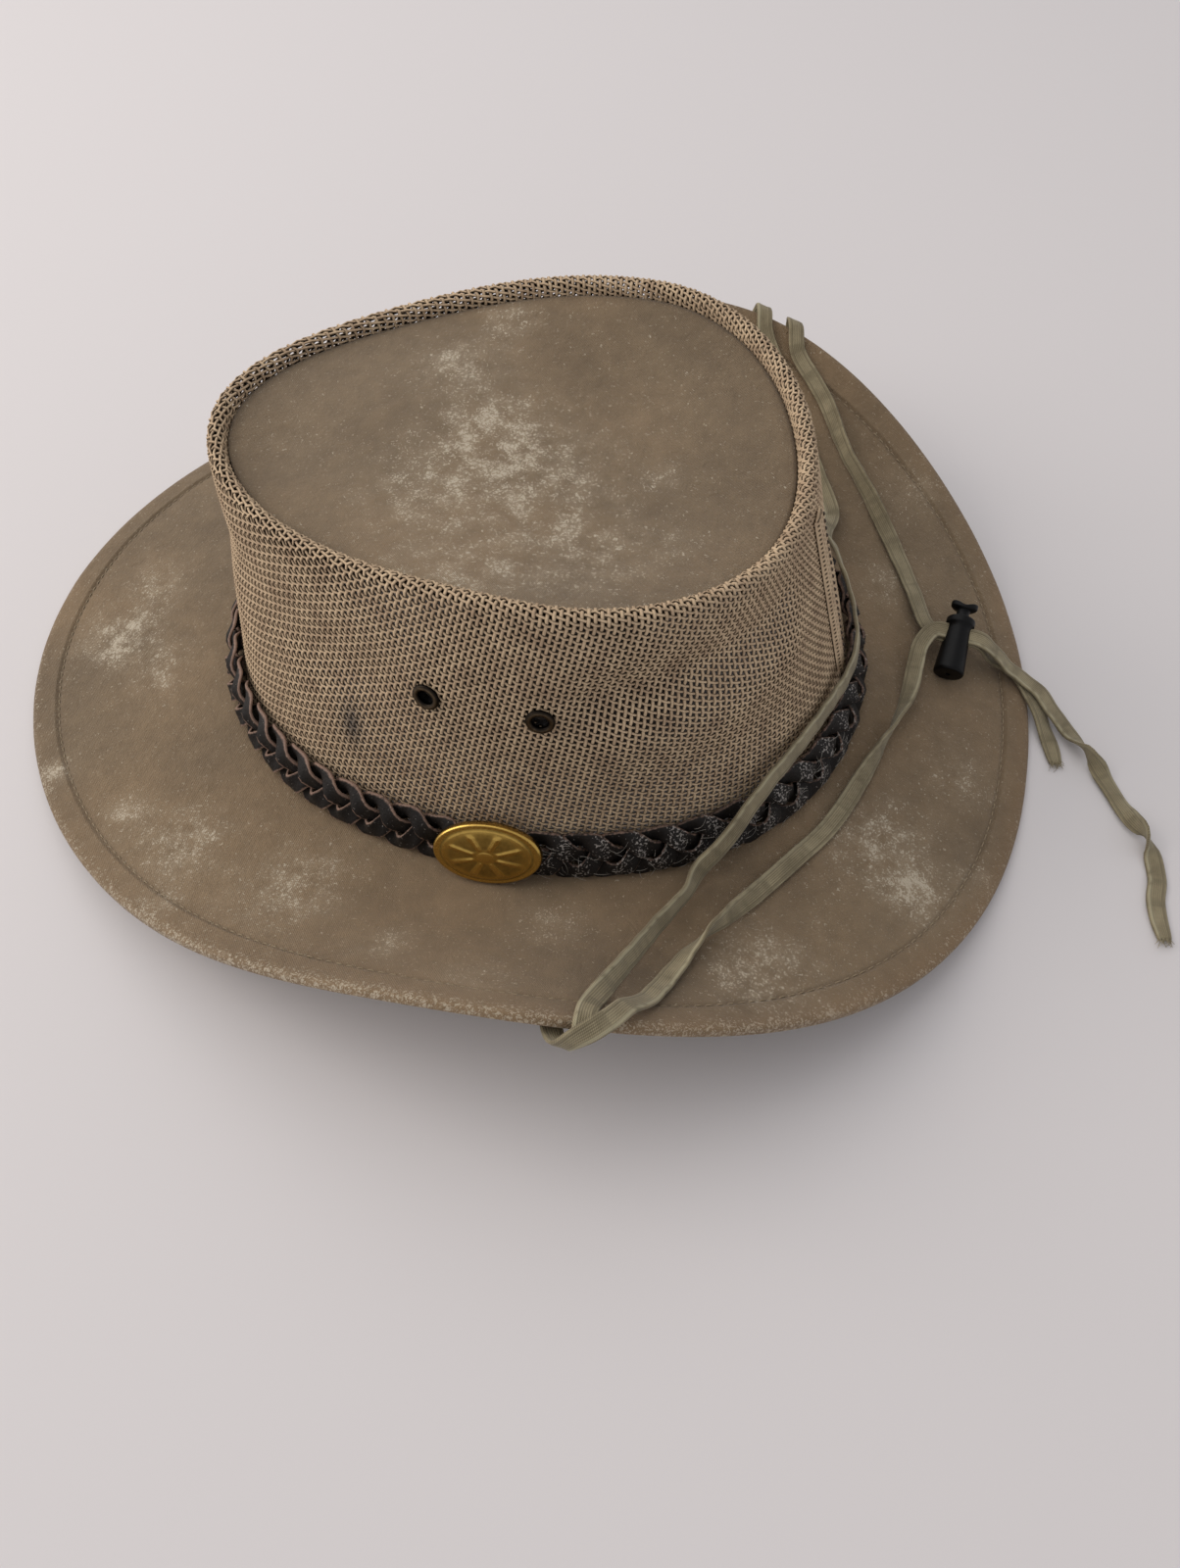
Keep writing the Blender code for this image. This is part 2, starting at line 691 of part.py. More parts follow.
def tip_place(turn, share):
    """X and Y of a place on the tip."""
    centre = Vector((0, WIDEST_Y + TIP_SHIFT_BACK - (TIP_FRONT - TIP_BACK) / 2, 0))
    inset = ROLL_OFFSET - ROLL_RADIUS - GAP
    edge = tip_point(turn, inset)
    place = centre.lerp(edge, share)
    return place.x, place.y


def make_tip(canvas):
    """The tip: a panel of canvas sunk inside the roll."""
    centre = tip_place(0, 0)
    points = [Vector((*centre, tip_height(0, 0)))]
    points.append(points[0] - Vector((0, 0, TIP_THICKNESS)))
    for below in (0, TIP_THICKNESS):
        for share in TIP_SHARES:
            for i in range(STATIONS):
                turn = turn_of(i)
                points.append(
                    Vector((*tip_place(turn, share), tip_height(turn, share) - below))
                )
    faces = []

    def at(level, ring, i):
        return 2 + (level * len(TIP_SHARES) + ring) * STATIONS + i % STATIONS

    for i in range(STATIONS):
        for level in (0, 1):
            faces.append((level, at(level, 0, i), at(level, 0, i + 1)))
            for ring in range(len(TIP_SHARES) - 1):
                faces.append(
                    (
                        at(level, ring, i),
                        at(level, ring + 1, i),
                        at(level, ring + 1, i + 1),
                        at(level, ring, i + 1),
                    )
                )
        last = len(TIP_SHARES) - 1
        faces.append((at(0, last, i), at(1, last, i), at(1, last, i + 1), at(0, last, i + 1)))
    return mesh_object("crown_tip", points, faces, canvas)


def band_point(turn, height, depth):
    """A point in the braided band: height from its middle line, depth out from its middle."""
    _, up, out = wall_frame(turn, BAND_FRAME_SHARE)
    middle = BAND_HALF_HEIGHT + 2 * GAP
    standoff = BRAID_STANDOFF - BRAID_LEAN * height
    return foot_point(turn) + up * (middle + height) + out * (standoff + depth)


def make_strand(name, phase, thong):
    """One thong of the three that make the band, a closed ring plaited with the other two.

    It swings once up and down a period, and passes over or under another thong at 30, 150, 210
    and 330 degrees of it, rolling between so that the two never touch.
    """
    sections = []
    for period in range(BRAID_PERIODS):
        for degrees in BRAID_STATIONS:
            t = math.radians(degrees)
            half_height = STRAND_WIDTH / 2 * math.hypot(1, BRAID_SLOPE * math.cos(t))
            middle = BRAID_SWING * math.sin(t)
            depth = BRAID_WEAVE * math.sin(2 * t)
            roll = STRAND_ROLL * math.cos(3 * t)
            turn = (2 * math.pi * period + t - phase) / BRAID_PERIODS
            section = []
            for side, face in ((-1, -1), (-1, 1), (1, 1), (1, -1)):
                height = side * half_height
                out = depth + roll * height + face * STRAND_THICKNESS / 2
                section.append(band_point(turn, middle + height, out))
            sections.append(section)
    return ring_object(name, sections, thong)


def badge_place():
    """The badge's frame: X along the band, Y up its plate, Z out of its face."""
    turn = math.radians(BADGE_TURN)
    around, up, out = wall_frame(turn, BAND_FRAME_SHARE)
    centre = foot_point(turn) + up * BADGE_LIFT + out * BADGE_STANDOFF
    lean = Matrix.Rotation(math.radians(BADGE_TILT), 3, around)
    return placed(centre, around, lean @ up, lean @ out)


def make_badge(brass):
    """The oval badge: a domed plate with a raised rim and a plain star of rays."""
    # radius, height, relief: shares of the badge's half size, of its dome and of its rays
    profile = (
        (0.12, 1.00, 0.0),
        (0.36, 0.95, 0.8),
        (0.62, 0.78, 0.6),
        (0.84, 0.36, 0.0),
        (0.89, 0.46, 0.0),
        (0.96, 0.44, 0.0),
        (1.00, 0.16, 0.0),
        (1.00, 0.00, 0.0),
    )
    sides = 4 * BADGE_RAYS
    place = badge_place()
    points = []
    for radius, height, relief in profile:
        for i in range(sides):
            a = 2 * math.pi * i / sides
            x = BADGE_WIDTH / 2 * radius * math.cos(a)
            y = BADGE_HEIGHT / 2 * radius * math.sin(a)
            ray = relief * BADGE_RELIEF * math.cos(BADGE_RAYS * a)
            z = height * BADGE_DOME + ray if height > 0 else -BADGE_PLATE
            points.append(place @ Vector((x, y, z)))
    return mesh_object("badge", points, turned_faces(len(profile), sides), brass)


def on_brim(turn, share, face, lift, roll):
    """A tape's middle, look and roll, lying on the brim, under it or round its edge."""
    turn, face, roll = math.radians(turn), math.radians(face), math.radians(roll)
    width = (edge_point(turn) - foot_point(turn)).length
    normal = brim_normal(turn, min(share, BRIM_LAST_SHARE))
    out = (brim_point(turn, share) - brim_point(turn, share - 0.01)).normalized()
    look = normal * math.cos(face) + out * math.sin(face)
    on_hem = (1 - share) * width < HEM_WIDTH + 2 * HEM_GROOVE_WIDTH
    away = (HEM_THICKNESS if on_hem else BRIM_THICKNESS) / 2 + TAPE_CLEARANCE + lift / 1000
    away += (TAPE_THICKNESS * abs(math.cos(roll)) + TAPE_WIDTH * abs(math.sin(roll))) / 2
    return brim_point(turn, share) + look * away, look, roll


def on_wall(turn, up_wall, out_wall, face):
    """A tape's middle, look and roll, at a place by the crown's wall."""
    turn, face = math.radians(turn), math.radians(face)
    _, up, out = wall_frame(turn, BAND_FRAME_SHARE)
    point = foot_point(turn) + (up * up_wall + out * out_wall) / 1000
    return point, up * math.cos(face) + out * math.sin(face), 0


def off_brim(x, y, z, face, towards):
    """A tape's middle, look and roll, beyond the brim."""
    face, towards = math.radians(face), math.radians(towards)
    side = Vector((math.sin(towards), math.cos(towards), 0))
    return Vector((x, y, z)) / 1000, Vector((0, 0, 1)) * math.cos(face) + side * math.sin(face), 0


def in_lock(layer):
    """A tape's straight run through the lock, in the upper layer (1) or the lower one (-1)."""
    place = lock_place()
    height = layer * (TAPE_THICKNESS / 2 + GAP)
    look = place.col[1].xyz
    return [
        (place @ Vector((x * LOCK_STRAIGHT_RUN, height, LOCK_SLOT_CENTRE)), look, 0)
        for x in (1, 0, -1)
    ]


def smooth_route(rows):
    """Points and unit looks a tape step apart along a smooth curve through a strap's rows."""
    route = []
    for i in range(len(rows) - 1):
        before, after = rows[max(i - 1, 0)][0], rows[min(i + 2, len(rows) - 1)][0]
        a, b = rows[i][0], rows[i + 1][0]
        pieces = max(round((b - a).length / TAPE_STEP), 1)
        for k in range(pieces):
            t = k / pieces
            pull_a, pull_b = (b - before) / 2, (after - a) / 2
            point = (
                a * (2 * t**3 - 3 * t**2 + 1)
                + pull_a * (t**3 - 2 * t**2 + t)
                + b * (3 * t**2 - 2 * t**3)
                + pull_b * (t**3 - t**2)
            )
            look = rows[i][1].lerp(rows[i + 1][1], t)
            roll = rows[i][2] * (1 - t) + rows[i + 1][2] * t
            route.append((point, look, roll))
    route.append(rows[-1])
    return route


def ribbon_sections(route, width, thickness):
    """Rectangular sections along a route of points, their faces' looks and their rolls."""
    sections = []
    for i, (point, look, roll) in enumerate(route):
        run = route[min(i + 1, len(route) - 1)][0] - route[max(i - 1, 0)][0]
        run.normalize()
        face = Matrix.Rotation(roll, 3, run) @ (look - run * look.dot(run)).normalized()
        side = run.cross(face)
        half_width, half = side * width / 2, face * thickness / 2
        sections.append(
            [
                point - half_width - half,
                point - half_width + half,
                point + half_width + half,
                point + half_width - half,
            ]
        )
    return sections


def make_tape(name, rows, tape):
    """One length of the flat chin strap."""
    return tube_object(name, ribbon_sections(smooth_route(rows), TAPE_WIDTH, TAPE_THICKNESS), tape)


def make_strap(tape):
    """The whole loop: two lengths that meet in the lock, and one round the back of the crown."""
    left = [on_brim(*row) for row in LEFT_STRAP_TO_LOCK] + in_lock(1)
    left += [on_brim(*row) for row in LEFT_TAIL_ON_BRIM]
    left += [off_brim(*row) for row in LEFT_TAIL]
    make_tape("strap_left", left, tape)
    right = [on_brim(*row) for row in RIGHT_STRAP_TO_LOCK] + in_lock(-1)
    right += [on_brim(*row) for row in RIGHT_TAIL_ON_BRIM]
    right += [off_brim(*row) for row in RIGHT_TAIL]
    make_tape("strap_right", right, tape)
    rear = [on_brim(*row) for row in REAR_STRAP_NEAR_SIDE]
    rear += [on_wall(*row) for row in REAR_STRAP_BEHIND_CROWN]
    rear += [on_brim(*row) for row in REAR_STRAP_FAR_SIDE]
    make_tape("strap_rear", rear, tape)


def make_tab(name, turn, tape):
    """A tab sewn across the two tapes under the brim."""
    turn = math.radians(turn)
    radius = (brim_point(turn, TAB_SHARE) - Vector((0, WIDEST_Y, 0))).xy.length
    under = BRIM_THICKNESS / 2
    seat = under + GAP + TAB_THICKNESS / 2
    clear = under + GAP + TAPE_THICKNESS + GAP * 2 + TAB_THICKNESS / 2
    inside = (TAPE_SPACING + TAPE_WIDTH) / 2 + 2 * GAP
    leg = inside + TAB_LEG_ROOM
    # distance along the brim, depth below its middle surface
    shape = (
        (-leg - TAB_BEND - TAB_FOOT, seat),
        (-leg - TAB_BEND, seat),
        (-leg, clear),
        (-leg / 3, clear),
        (leg / 3, clear),
        (leg, clear),
        (leg + TAB_BEND, seat),
        (leg + TAB_BEND + TAB_FOOT, seat),
    )
    route = []
    for along, depth in shape:
        here = turn + along / radius
        normal = brim_normal(here, TAB_SHARE)
        route.append((brim_point(here, TAB_SHARE) - normal * depth, -normal, 0))
    return tube_object(name, ribbon_sections(route, TAB_WIDTH, TAB_THICKNESS), tape)


def lock_place():
    """The lock's frame: Z along its axis to the plunger, X back along the tapes that run through."""
    tilt, turn = math.radians(LOCK_TILT), math.radians(LOCK_TURN)
    axis = Vector(
        (math.sin(turn) * math.cos(tilt), math.cos(turn) * math.cos(tilt), math.sin(tilt))
    )
    back = Vector((-math.cos(turn), math.sin(turn), 0))
    return placed(Vector(LOCK_FOOT), back, axis.cross(back), axis)


def box_points(low, high, place):
    """Corners of a box in place's own axes."""
    corners = [
        (x, y, z) for z in (low[2], high[2]) for y in (low[1], high[1]) for x in (low[0], high[0])
    ]
    return [place @ Vector(corner) for corner in corners]


BOX_FACES = ((0, 1, 3, 2), (4, 5, 7, 6), (0, 1, 5, 4), (2, 3, 7, 6), (0, 2, 6, 4), (1, 3, 7, 5))


def slot_half_depth():
    """Half the slot's size across the two tapes that lie in it one on the other."""
    return TAPE_THICKNESS + 2 * GAP


def cut_slot(body, name, above):
    """Cuts the tapes' slot through a piece of the lock, with extra room above it."""
    low = LOCK_SLOT_CENTRE - TAPE_WIDTH / 2 - LOCK_SLOT_ROOM
    high = LOCK_SLOT_CENTRE + TAPE_WIDTH / 2 + LOCK_SLOT_ROOM + above
    reach, depth = 3 * LOCK_RADIUS, slot_half_depth()
    points = box_points((-reach, -depth, low), (reach, depth, high), lock_place())
    cut_away(body, name, points, BOX_FACES)


def make_lock_barrel(plastic):
    """The lock's barrel: a shouldered tube with a floor, and a slot for the tapes."""
    top = LOCK_BARREL_LENGTH
    profile = (
        (LOCK_RADIUS - LOCK_BEVEL, 0.0),
        (LOCK_RADIUS, LOCK_BEVEL),
        (LOCK_WAIST_RADIUS, top - LOCK_SHOULDER - LOCK_BEVEL),
        (LOCK_SHOULDER_RADIUS, top - LOCK_SHOULDER),
        (LOCK_SHOULDER_RADIUS, top - LOCK_BEVEL),
        (LOCK_SHOULDER_RADIUS - LOCK_BEVEL, top),
    )
    faces = turned_faces(len(profile), LOCK_SIDES)
    points = turned_points(profile, LOCK_SIDES, lock_place(), LOCK_FLATNESS)
    barrel = mesh_object("lock_barrel", points, faces, plastic)
    bore = ((LOCK_BORE_RADIUS, LOCK_FLOOR), (LOCK_BORE_RADIUS, top + LOCK_FLOOR))
    points = turned_points(bore, LOCK_SIDES, lock_place())
    cut_away(barrel, "lock_bore", points, turned_faces(len(bore), LOCK_SIDES))
    cut_slot(barrel, "barrel_slot", 0)
    return barrel


def make_lock_plunger(plastic):
    """The plunger: a slotted pin in the bore, a neck and a cap that a thumb presses."""
    pin = LOCK_BORE_RADIUS - PLUNGER_CLEARANCE
    bottom = LOCK_FLOOR + PLUNGER_TRAVEL + 2 * GAP
    neck = LOCK_BARREL_LENGTH + PLUNGER_NECK
    profile = (
        (pin, bottom),
        (pin, neck - PLUNGER_BEVEL),
        (PLUNGER_CAP_RADIUS, neck),
        (PLUNGER_CAP_RADIUS, neck + PLUNGER_CAP - PLUNGER_BEVEL),
        (PLUNGER_CAP_RADIUS - PLUNGER_BEVEL, neck + PLUNGER_CAP),
    )
    faces = turned_faces(len(profile), LOCK_SIDES)
    points = turned_points(profile, LOCK_SIDES, lock_place())
    plunger = mesh_object("lock_plunger", points, faces, plastic)
    cut_slot(plunger, "plunger_slot", PLUNGER_TRAVEL)
    return plunger


def main():
    for old in list(bpy.data.objects):
        bpy.data.objects.remove(old)
    canvas = material("waxed canvas", 0x8A7860, 0.75)
    mesh_cloth = material("woven mesh", 0xA08C74, 0.8)
    thong = material("braided leather", 0x2A2422, 0.6)
    brass = material("brass", 0xB8902F, 0.35, 1.0)
    dark_metal = material("blackened brass", 0x2B2723, 0.4, 1.0)
    tape = material("cotton tape", 0x858062, 0.85)
    plastic = material("black plastic", 0x0B0B0E, 0.3)
    make_brim(canvas)
    make_wall(mesh_cloth)
    make_seam(mesh_cloth)
    make_tip(canvas)
    for i in range(3):
        make_strand(f"braid_strand_{i + 1}", 2 * math.pi * i / 3, thong)
    make_badge(brass)
    for side, turn in EYELET_TURNS.items():
        make_eyelet("eyelet_" + side, turn, dark_metal)
    make_strap(tape)
    for side, turn in TAB_TURNS.items():
        make_tab("strap_tab_" + side, turn, tape)
    make_lock_barrel(plastic)
    make_lock_plunger(plastic)


main()
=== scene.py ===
"""The looks of a wide-brim sun hat: brushed canvas brim and tip, woven mesh crown, plaited leather
band with an oval brass badge, blackened vent eyelets and a flat cotton chin strap with its lock.

Metres, +Z up. The front is -Y, the back seam is at +Y and the wearer's left is +X. A turn is in degrees
from the back seam towards the wearer's left. The forms follow the same sizes as the solids do.
"""

import math

import bmesh
import bpy
import numpy as np
from mathutils import Matrix, Vector


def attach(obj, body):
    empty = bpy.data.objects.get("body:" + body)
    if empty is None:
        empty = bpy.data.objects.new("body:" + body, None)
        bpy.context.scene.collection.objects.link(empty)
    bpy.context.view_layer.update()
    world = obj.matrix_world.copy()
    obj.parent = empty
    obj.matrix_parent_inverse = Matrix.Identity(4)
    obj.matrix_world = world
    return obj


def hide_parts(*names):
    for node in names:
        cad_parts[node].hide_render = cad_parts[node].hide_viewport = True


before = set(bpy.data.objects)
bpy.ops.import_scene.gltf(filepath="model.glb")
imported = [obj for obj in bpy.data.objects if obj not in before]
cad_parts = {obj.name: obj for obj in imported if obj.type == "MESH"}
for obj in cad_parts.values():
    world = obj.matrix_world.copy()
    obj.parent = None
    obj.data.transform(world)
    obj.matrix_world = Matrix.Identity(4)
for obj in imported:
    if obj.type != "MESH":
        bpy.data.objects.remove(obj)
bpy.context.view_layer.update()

# The camera stands over the wearer's left, as in the photo. Lens and roll are in pixels and degrees.
PHOTO_LONG_SIDE = 1600
SENSOR = 36.0
LENS_PIXELS = 1178.58
CAMERA_PLACE = (0.24454, 0.09640, 0.31657)
CAMERA_PITCH = 56.145
CAMERA_TURN = 106.53
CAMERA_ROLL = -0.925

# Brim.
BRIM_HALF_WIDTH = 0.149
BRIM_BACK = 0.165
BRIM_FRONT = 0.182
BRIM_SQUARENESS_BACK = 2.19
BRIM_SQUARENESS_FRONT = 2.01
BRIM_SIDE_CURL = 0.054
CURL_SHARPNESS = 2.65
CURL_BACKWARD_LEAN = 0.22
CURL_FRONT_EASE = 0.085
CURL_HOLLOW = 0.9
BRIM_THICKNESS = 0.0024
HEM_THICKNESS = 0.0034
HEM_WIDTH = 0.0095
HEM_GROOVE = 0.0005
HEM_GROOVE_WIDTH = 0.0013
HEM_PRESSED_FLAT = 0.0007
HEM_SHOULDER = 0.0022
HEM_ROUNDED_SHARE = 0.8
HEM_EDGE_SHARE = 0.4

# Crown foot and tip.
CROWN_HALF_WIDTH = 0.087
CROWN_HALF_LENGTH = 0.1025
CROWN_SQUARENESS = 2.11
FOOT_HEIGHT = 0.0149
FOOT_SIDE_RISE = 0.0059
FOOT_BACK_RISE = 0.0025
TIP_HALF_WIDTH = 0.0661
TIP_BACK = 0.0567
TIP_FRONT = 0.1126
TIP_SQUARENESS_BACK = 2.0
TIP_SQUARENESS_FRONT = 1.9
TIP_SHIFT_BACK = 0.0192
TIP_HEIGHT = 0.0952
TIP_SIDE_RISE = 0.0124
TIP_SAG = 0.003
TIP_DISH = 2.2
TIP_THICKNESS = 0.0018

# Mesh wall, its roll round the tip, and its back seam.
WALL_THICKNESS = 0.0012
ROLL_RADIUS = 0.0028
ROLL_OFFSET = 0.0016
SEAM_WIDTH = 0.0070
SEAM_HEIGHT = 0.0014
SEAM_LOWEST = 0.24
SEAM_HIGHEST = 0.97

# Plaited band and badge.
BRAID_PERIODS = 18
STRAND_WIDTH = 0.0042
BRAID_SWING = 0.0054
BRAID_WEAVE = 0.0015
STRAND_ROLL = 0.4
BRAID_LEAN = 0.12
BRAID_STANDOFF = 0.0035
BAND_FRAME_SHARE = 0.08
BADGE_WIDTH = 0.032
BADGE_HEIGHT = 0.0204
BADGE_DOME = 0.0026
BADGE_PLATE = 0.0010
BADGE_TURN = 82.5
BADGE_TILT = 14.0
BADGE_LIFT = 0.0100
BADGE_STANDOFF = 0.0074
BADGE_RAYS = 8

# Vent eyelets.
EYELET_FLANGE_RADIUS = 0.0045
EYELET_HOLE_RADIUS = 0.0021
EYELET_FLANGE = 0.0007
EYELET_HEIGHT_SHARE = 0.645
EYELET_TURNS = {
    "left_rear": 80.8,
    "left_front": 104.4,
    "right_rear": -80.8,
    "right_front": -104.4,
}

# Chin strap, its tabs and its lock.
TAPE_WIDTH = 0.0064
TAPE_THICKNESS = 0.0012
TAB_TURNS = {"left": 69.0, "right": -71.8}
TAB_WIDTH = 0.009
TAB_THICKNESS = 0.0010
TAB_SHARE = 0.22
TAB_FOOT = 0.0048
TAB_BEND = 0.0012
TAB_LEG_ROOM = 0.0016
TAPE_SPACING = 0.0100
TAPE_CLEARANCE = 0.0005
LOCK_RADIUS = 0.0051
LOCK_BARREL_LENGTH = 0.021
LOCK_FLOOR = 0.0025
LOCK_BORE_RADIUS = 0.0031
LOCK_SLOT_CENTRE = 0.015
LOCK_SLOT_ROOM = 0.0005
LOCK_STRAIGHT_RUN = 0.0074
PLUNGER_CLEARANCE = 0.0004
PLUNGER_NECK = 0.0040
PLUNGER_CAP = 0.0022
PLUNGER_TRAVEL = 0.0035
LOCK_FOOT = (-0.0240, 0.1423, 0.0147)
LOCK_TILT = 15.0
LOCK_TURN = -87.0
LOCK_FLATNESS = 0.92
LOCK_CORE_RADIUS = 0.0008
LOCK_WAIST_RADIUS = 0.0040
LOCK_SHOULDER_RADIUS = 0.0048
PLUNGER_CAP_RADIUS = 0.0042
PLUNGER_NECK_RADIUS = 0.0021
THUMB_LONGER, THUMB_NARROWER = 0.06, 0.35
THUMB_SOFT = 0.0012
THUMB_HOLLOW, THUMB_HOLLOW_REACH = 0.0012, 0.0022
THUMB_EARS = 0.0006

# The studio.
FLOOR_SIZE = 6.0
FLOOR_COLOUR = "#D7D3D3"
# The floor's colour darkens to this painted shade under the crown, in full within this share of the
# crown's size.
FLOOR_PAINTED_SHADE = "#352C25"
FLOOR_PAINTED_SHADE_REACH = 0.4
SKY_COLOUR = "#F3F2F5"
SKY_STRENGTH = 0.62
LAMPS = (
    # name, place, aim, size, watts, colour
    ("key", (0.24, -1.55, 0.92), (0, 0.02, 0.02), 1.2, 14.6, "#FFF6EE"),
    ("top", (-0.36, -0.66, 1.40), (0, 0.02, 0.04), 1.8, 8.2, "#FFFCF8"),
)

# How finely the canvas is made, its waves, its worn places, and the shade painted round the tip. A wave
# has a height, a size and a seed.
BRIM_TURNS = 480
BRIM_RINGS = 66
HEM_FINE = 0.0135
HEM_RINGS = 26
EDGE_FINE = 0.0032
EDGE_RINGS = 9
TIP_TURNS = 320
TIP_RINGS = 70
BRIM_SWAY = (0.00045, 0.075, 4)
BRIM_RIPPLE = (0.00012, 0.018, 5)
TIP_SWAY = (0.0005, 0.06, 8)
TIP_RIPPLE = (0.00016, 0.017, 9)
SWAY_CALM_AT_FOOT = 0.25
SWAY_CALM_AT_EDGE = 0.03
BRIM_RUBBED = 1.35
FRAYED_TURN = 88
FRAYED_REACH = 0.0030
RIM_TAN_TURN = 20
RIM_TAN_REACH = 0.006
# Shade is painted darker over this share of the tip next to the roll, by this much.
TIP_DARK_RING = 0.04
TIP_DARK = 0.8

# Stitches: length, space and the thread's radius.
HEM_STITCH = (0.0024, 0.0008, 0.00022)
SEAM_STITCH = (0.0016, 0.0010, 0.00030)
HEM_PATH_POINTS = 2000
STITCH_STATIONS = 5
STITCH_SIDES = 6
STITCH_PROUD = 0.9
STITCH_DIP = 1.6
STITCH_THINNED = 0.35

# The mesh, woven from single yarns.
WARP_COLUMNS = 264
WEFT_CLIMB = 88
WARPS_A_ROW = WARP_COLUMNS // WEFT_CLIMB
WEFT_ROWS = 51
ROLL_ROWS = 8
ROLL_ROW_PITCH = 0.00162
WARP_WIDTH = 0.00104
WEFT_WIDTH = 0.00078
YARN_THICKNESS = 0.00070
YARN_SWING = 0.00034
SMUDGE_TURN = 119.0
SMUDGE_SHARE = 0.41
SMUDGE_REACH = (0.0040, 0.0040, 0.0080)
SMUDGE_STRENGTH = 0.9
YARN_CUT_BACK = 0.0006
WARP_SWAY = (0.1, 0.03, 31)
WEFT_WANDER = (0.12, 0.02, 32)
DYE_SEED = 21
ROLL_EASE_ROWS = 4
YARN_SECTION = (
    # across, out, how much shade is painted on it for how deep in the weave it lies
    (-0.55, 0.9, 0.0),
    (0.55, 0.9, 0.0),
    (1, 0, 0.8),
    (0.55, -0.9, 1.0),
    (-0.55, -0.9, 1.0),
    (-1, 0, 0.8),
)
SEAM_STATIONS = 320
SEAM_COLUMNS = 27
SEAM_HOLE = 0.00022
SEAM_STITCHED_AT = -0.31

# Thongs, lint, badge and eyelets.
THONG_WIDTH = 0.0058
THONG_THICKNESS = 0.0012
THONG_STATIONS = 24
THONG_COLUMNS = 11
THONG_WOBBLE = 0.0002
THONG_BOW = 0.00032
THONG_EDGE_THINNED = 0.4
THONG_GRIME = 0.15
THONG_GRIMED_TURN = 40
THONG_SCUFFED_TURN = 35
LINT_HAIRS = 130
LINT_SEED = 47
LINT_TURNS = (8, 76)
LINT_LENGTHS = (0.0012, 0.0055)
LINT_RADIUS = 0.00007
HAIR_STATIONS = 6
HAIR_SIDES = 3
HAIR_SWAY = 0.5
HAIR_LIFTS = (-0.1, 0.45)
BADGE_SIDES = 240
BADGE_RINGS = 62
BADGE_LEVEL = -6.0
BADGE_DOME_SECTION = (
    # share_out, share_up
    (0, 1.0),
    (0.36, 0.93),
    (0.62, 0.79),
    (0.8, 0.6),
    (0.86, 0.47),
    (0.91, 0.46),
    (0.96, 0.46),
    (0.985, 0.36),
    (1.0, 0.16),
)
RAY_RELIEF = 0.00022
RAY_SHARPNESS = 3.2
RAYS_FROM, RAYS_TO = 0.2, 0.74
BOSS_RELIEF = 0.0002
BOSS_REACH = 0.17
BEAD_RELIEF = 0.00008
BEADS = 60
BEADS_AT, BEADS_REACH = 0.91, 0.035
BADGE_VALLEY_AT, BADGE_VALLEY_REACH = 0.85, 0.03
EYELET_SIDES = 40
EYELET_ROLLED_IN = 0.0005
EYELET_ARC = 13
EYELET_SWELL = 1.35
EYELET_BARREL_WALL = 0.0008
EYELET_CHAMFER = 0.0002

# Tapes, their frayed ends, and the lock.
TAPE_FINE_STEP = 0.0015
TAPE_SEEN_WIDTH = 0.0057
TAPE_COLUMNS = 15
TAPE_EDGE_THINNED = 0.55
TAPE_RUCK, TAPE_RUCK_PITCH = 0.00012, 0.0107
TAPE_RIDGE = 0.00018
TAPE_RIDGE_AT, TAPE_RIDGE_REACH = 0.74, 0.12
TAPE_STITCH_PITCH = 0.0022
TAPE_DRAWN_IN, TAPE_DRAWN_REACH = 0.3, 0.004
LOOSE_THREADS = 26
LOOSE_LENGTHS = (0.0012, 0.0040)
LOOSE_RADIUS = 0.00016
LOOSE_SPREAD = 0.34
LOOSE_STRAY = 0.14
LOOSE_FAN = 0.9
LOOSE_ROOTS = 0.0008
LOOSE_ROOT_LOWEST = 0.0004
LOOSE_LOWEST = 0.0001
TAB_STATIONS = 60
LOCK_SIDES = 48

# Values that several pieces share, and those worked out from the sizes above.
GAP = 0.0003
SLOPE_STEP = 0.002
BRIM_LAST_SHARE = 0.995
WIDEST_Y = (BRIM_FRONT - BRIM_BACK) / 2
BRAID_PITCH = math.pi * (CROWN_HALF_WIDTH + CROWN_HALF_LENGTH) / BRAID_PERIODS
BRAID_SLOPE = 2 * math.pi * BRAID_SWING / BRAID_PITCH
BAND_HALF_HEIGHT = BRAID_SWING * math.sin(math.radians(60)) + (
    STRAND_WIDTH / 2 * math.hypot(1, BRAID_SLOPE * math.cos(math.radians(60)))
)
UP = np.array((0.0, 0.0, 1.0))
RIPPLE_WAVES = 6

# Soft forms of worn cloth: folds in the wall, pulls in the tip's outline, hollows in the tip.
WALL_FOLDS = (
    # turn_a, height_a, turn_b, height_b, reach, depth
    (24, 0.86, 70, 0.72, 0.090, -0.032),
    (22, 0.64, 62, 0.52, 0.110, 0.016),
    (120, 0.62, 165, 0.70, 0.140, -0.020),
    (-60, 0.78, -20, 0.70, 0.120, -0.024),
    (-155, 0.50, -122, 0.62, 0.130, -0.018),
)
RIM_PULLS = (
    # turn, reach, depth
    (-122, 20, -0.011),
    (-156, 15, 0.014),
    (178, 13, 0.010),
)
TIP_HOLLOWS = (
    # turn, share_out, reach, depth
    (170, 0.86, 0.26, 0.8),
    (205, 0.45, 0.34, -0.5),
    (60, 0.50, 0.50, 0.6),
    (-70, 0.55, 0.40, 0.5),
)

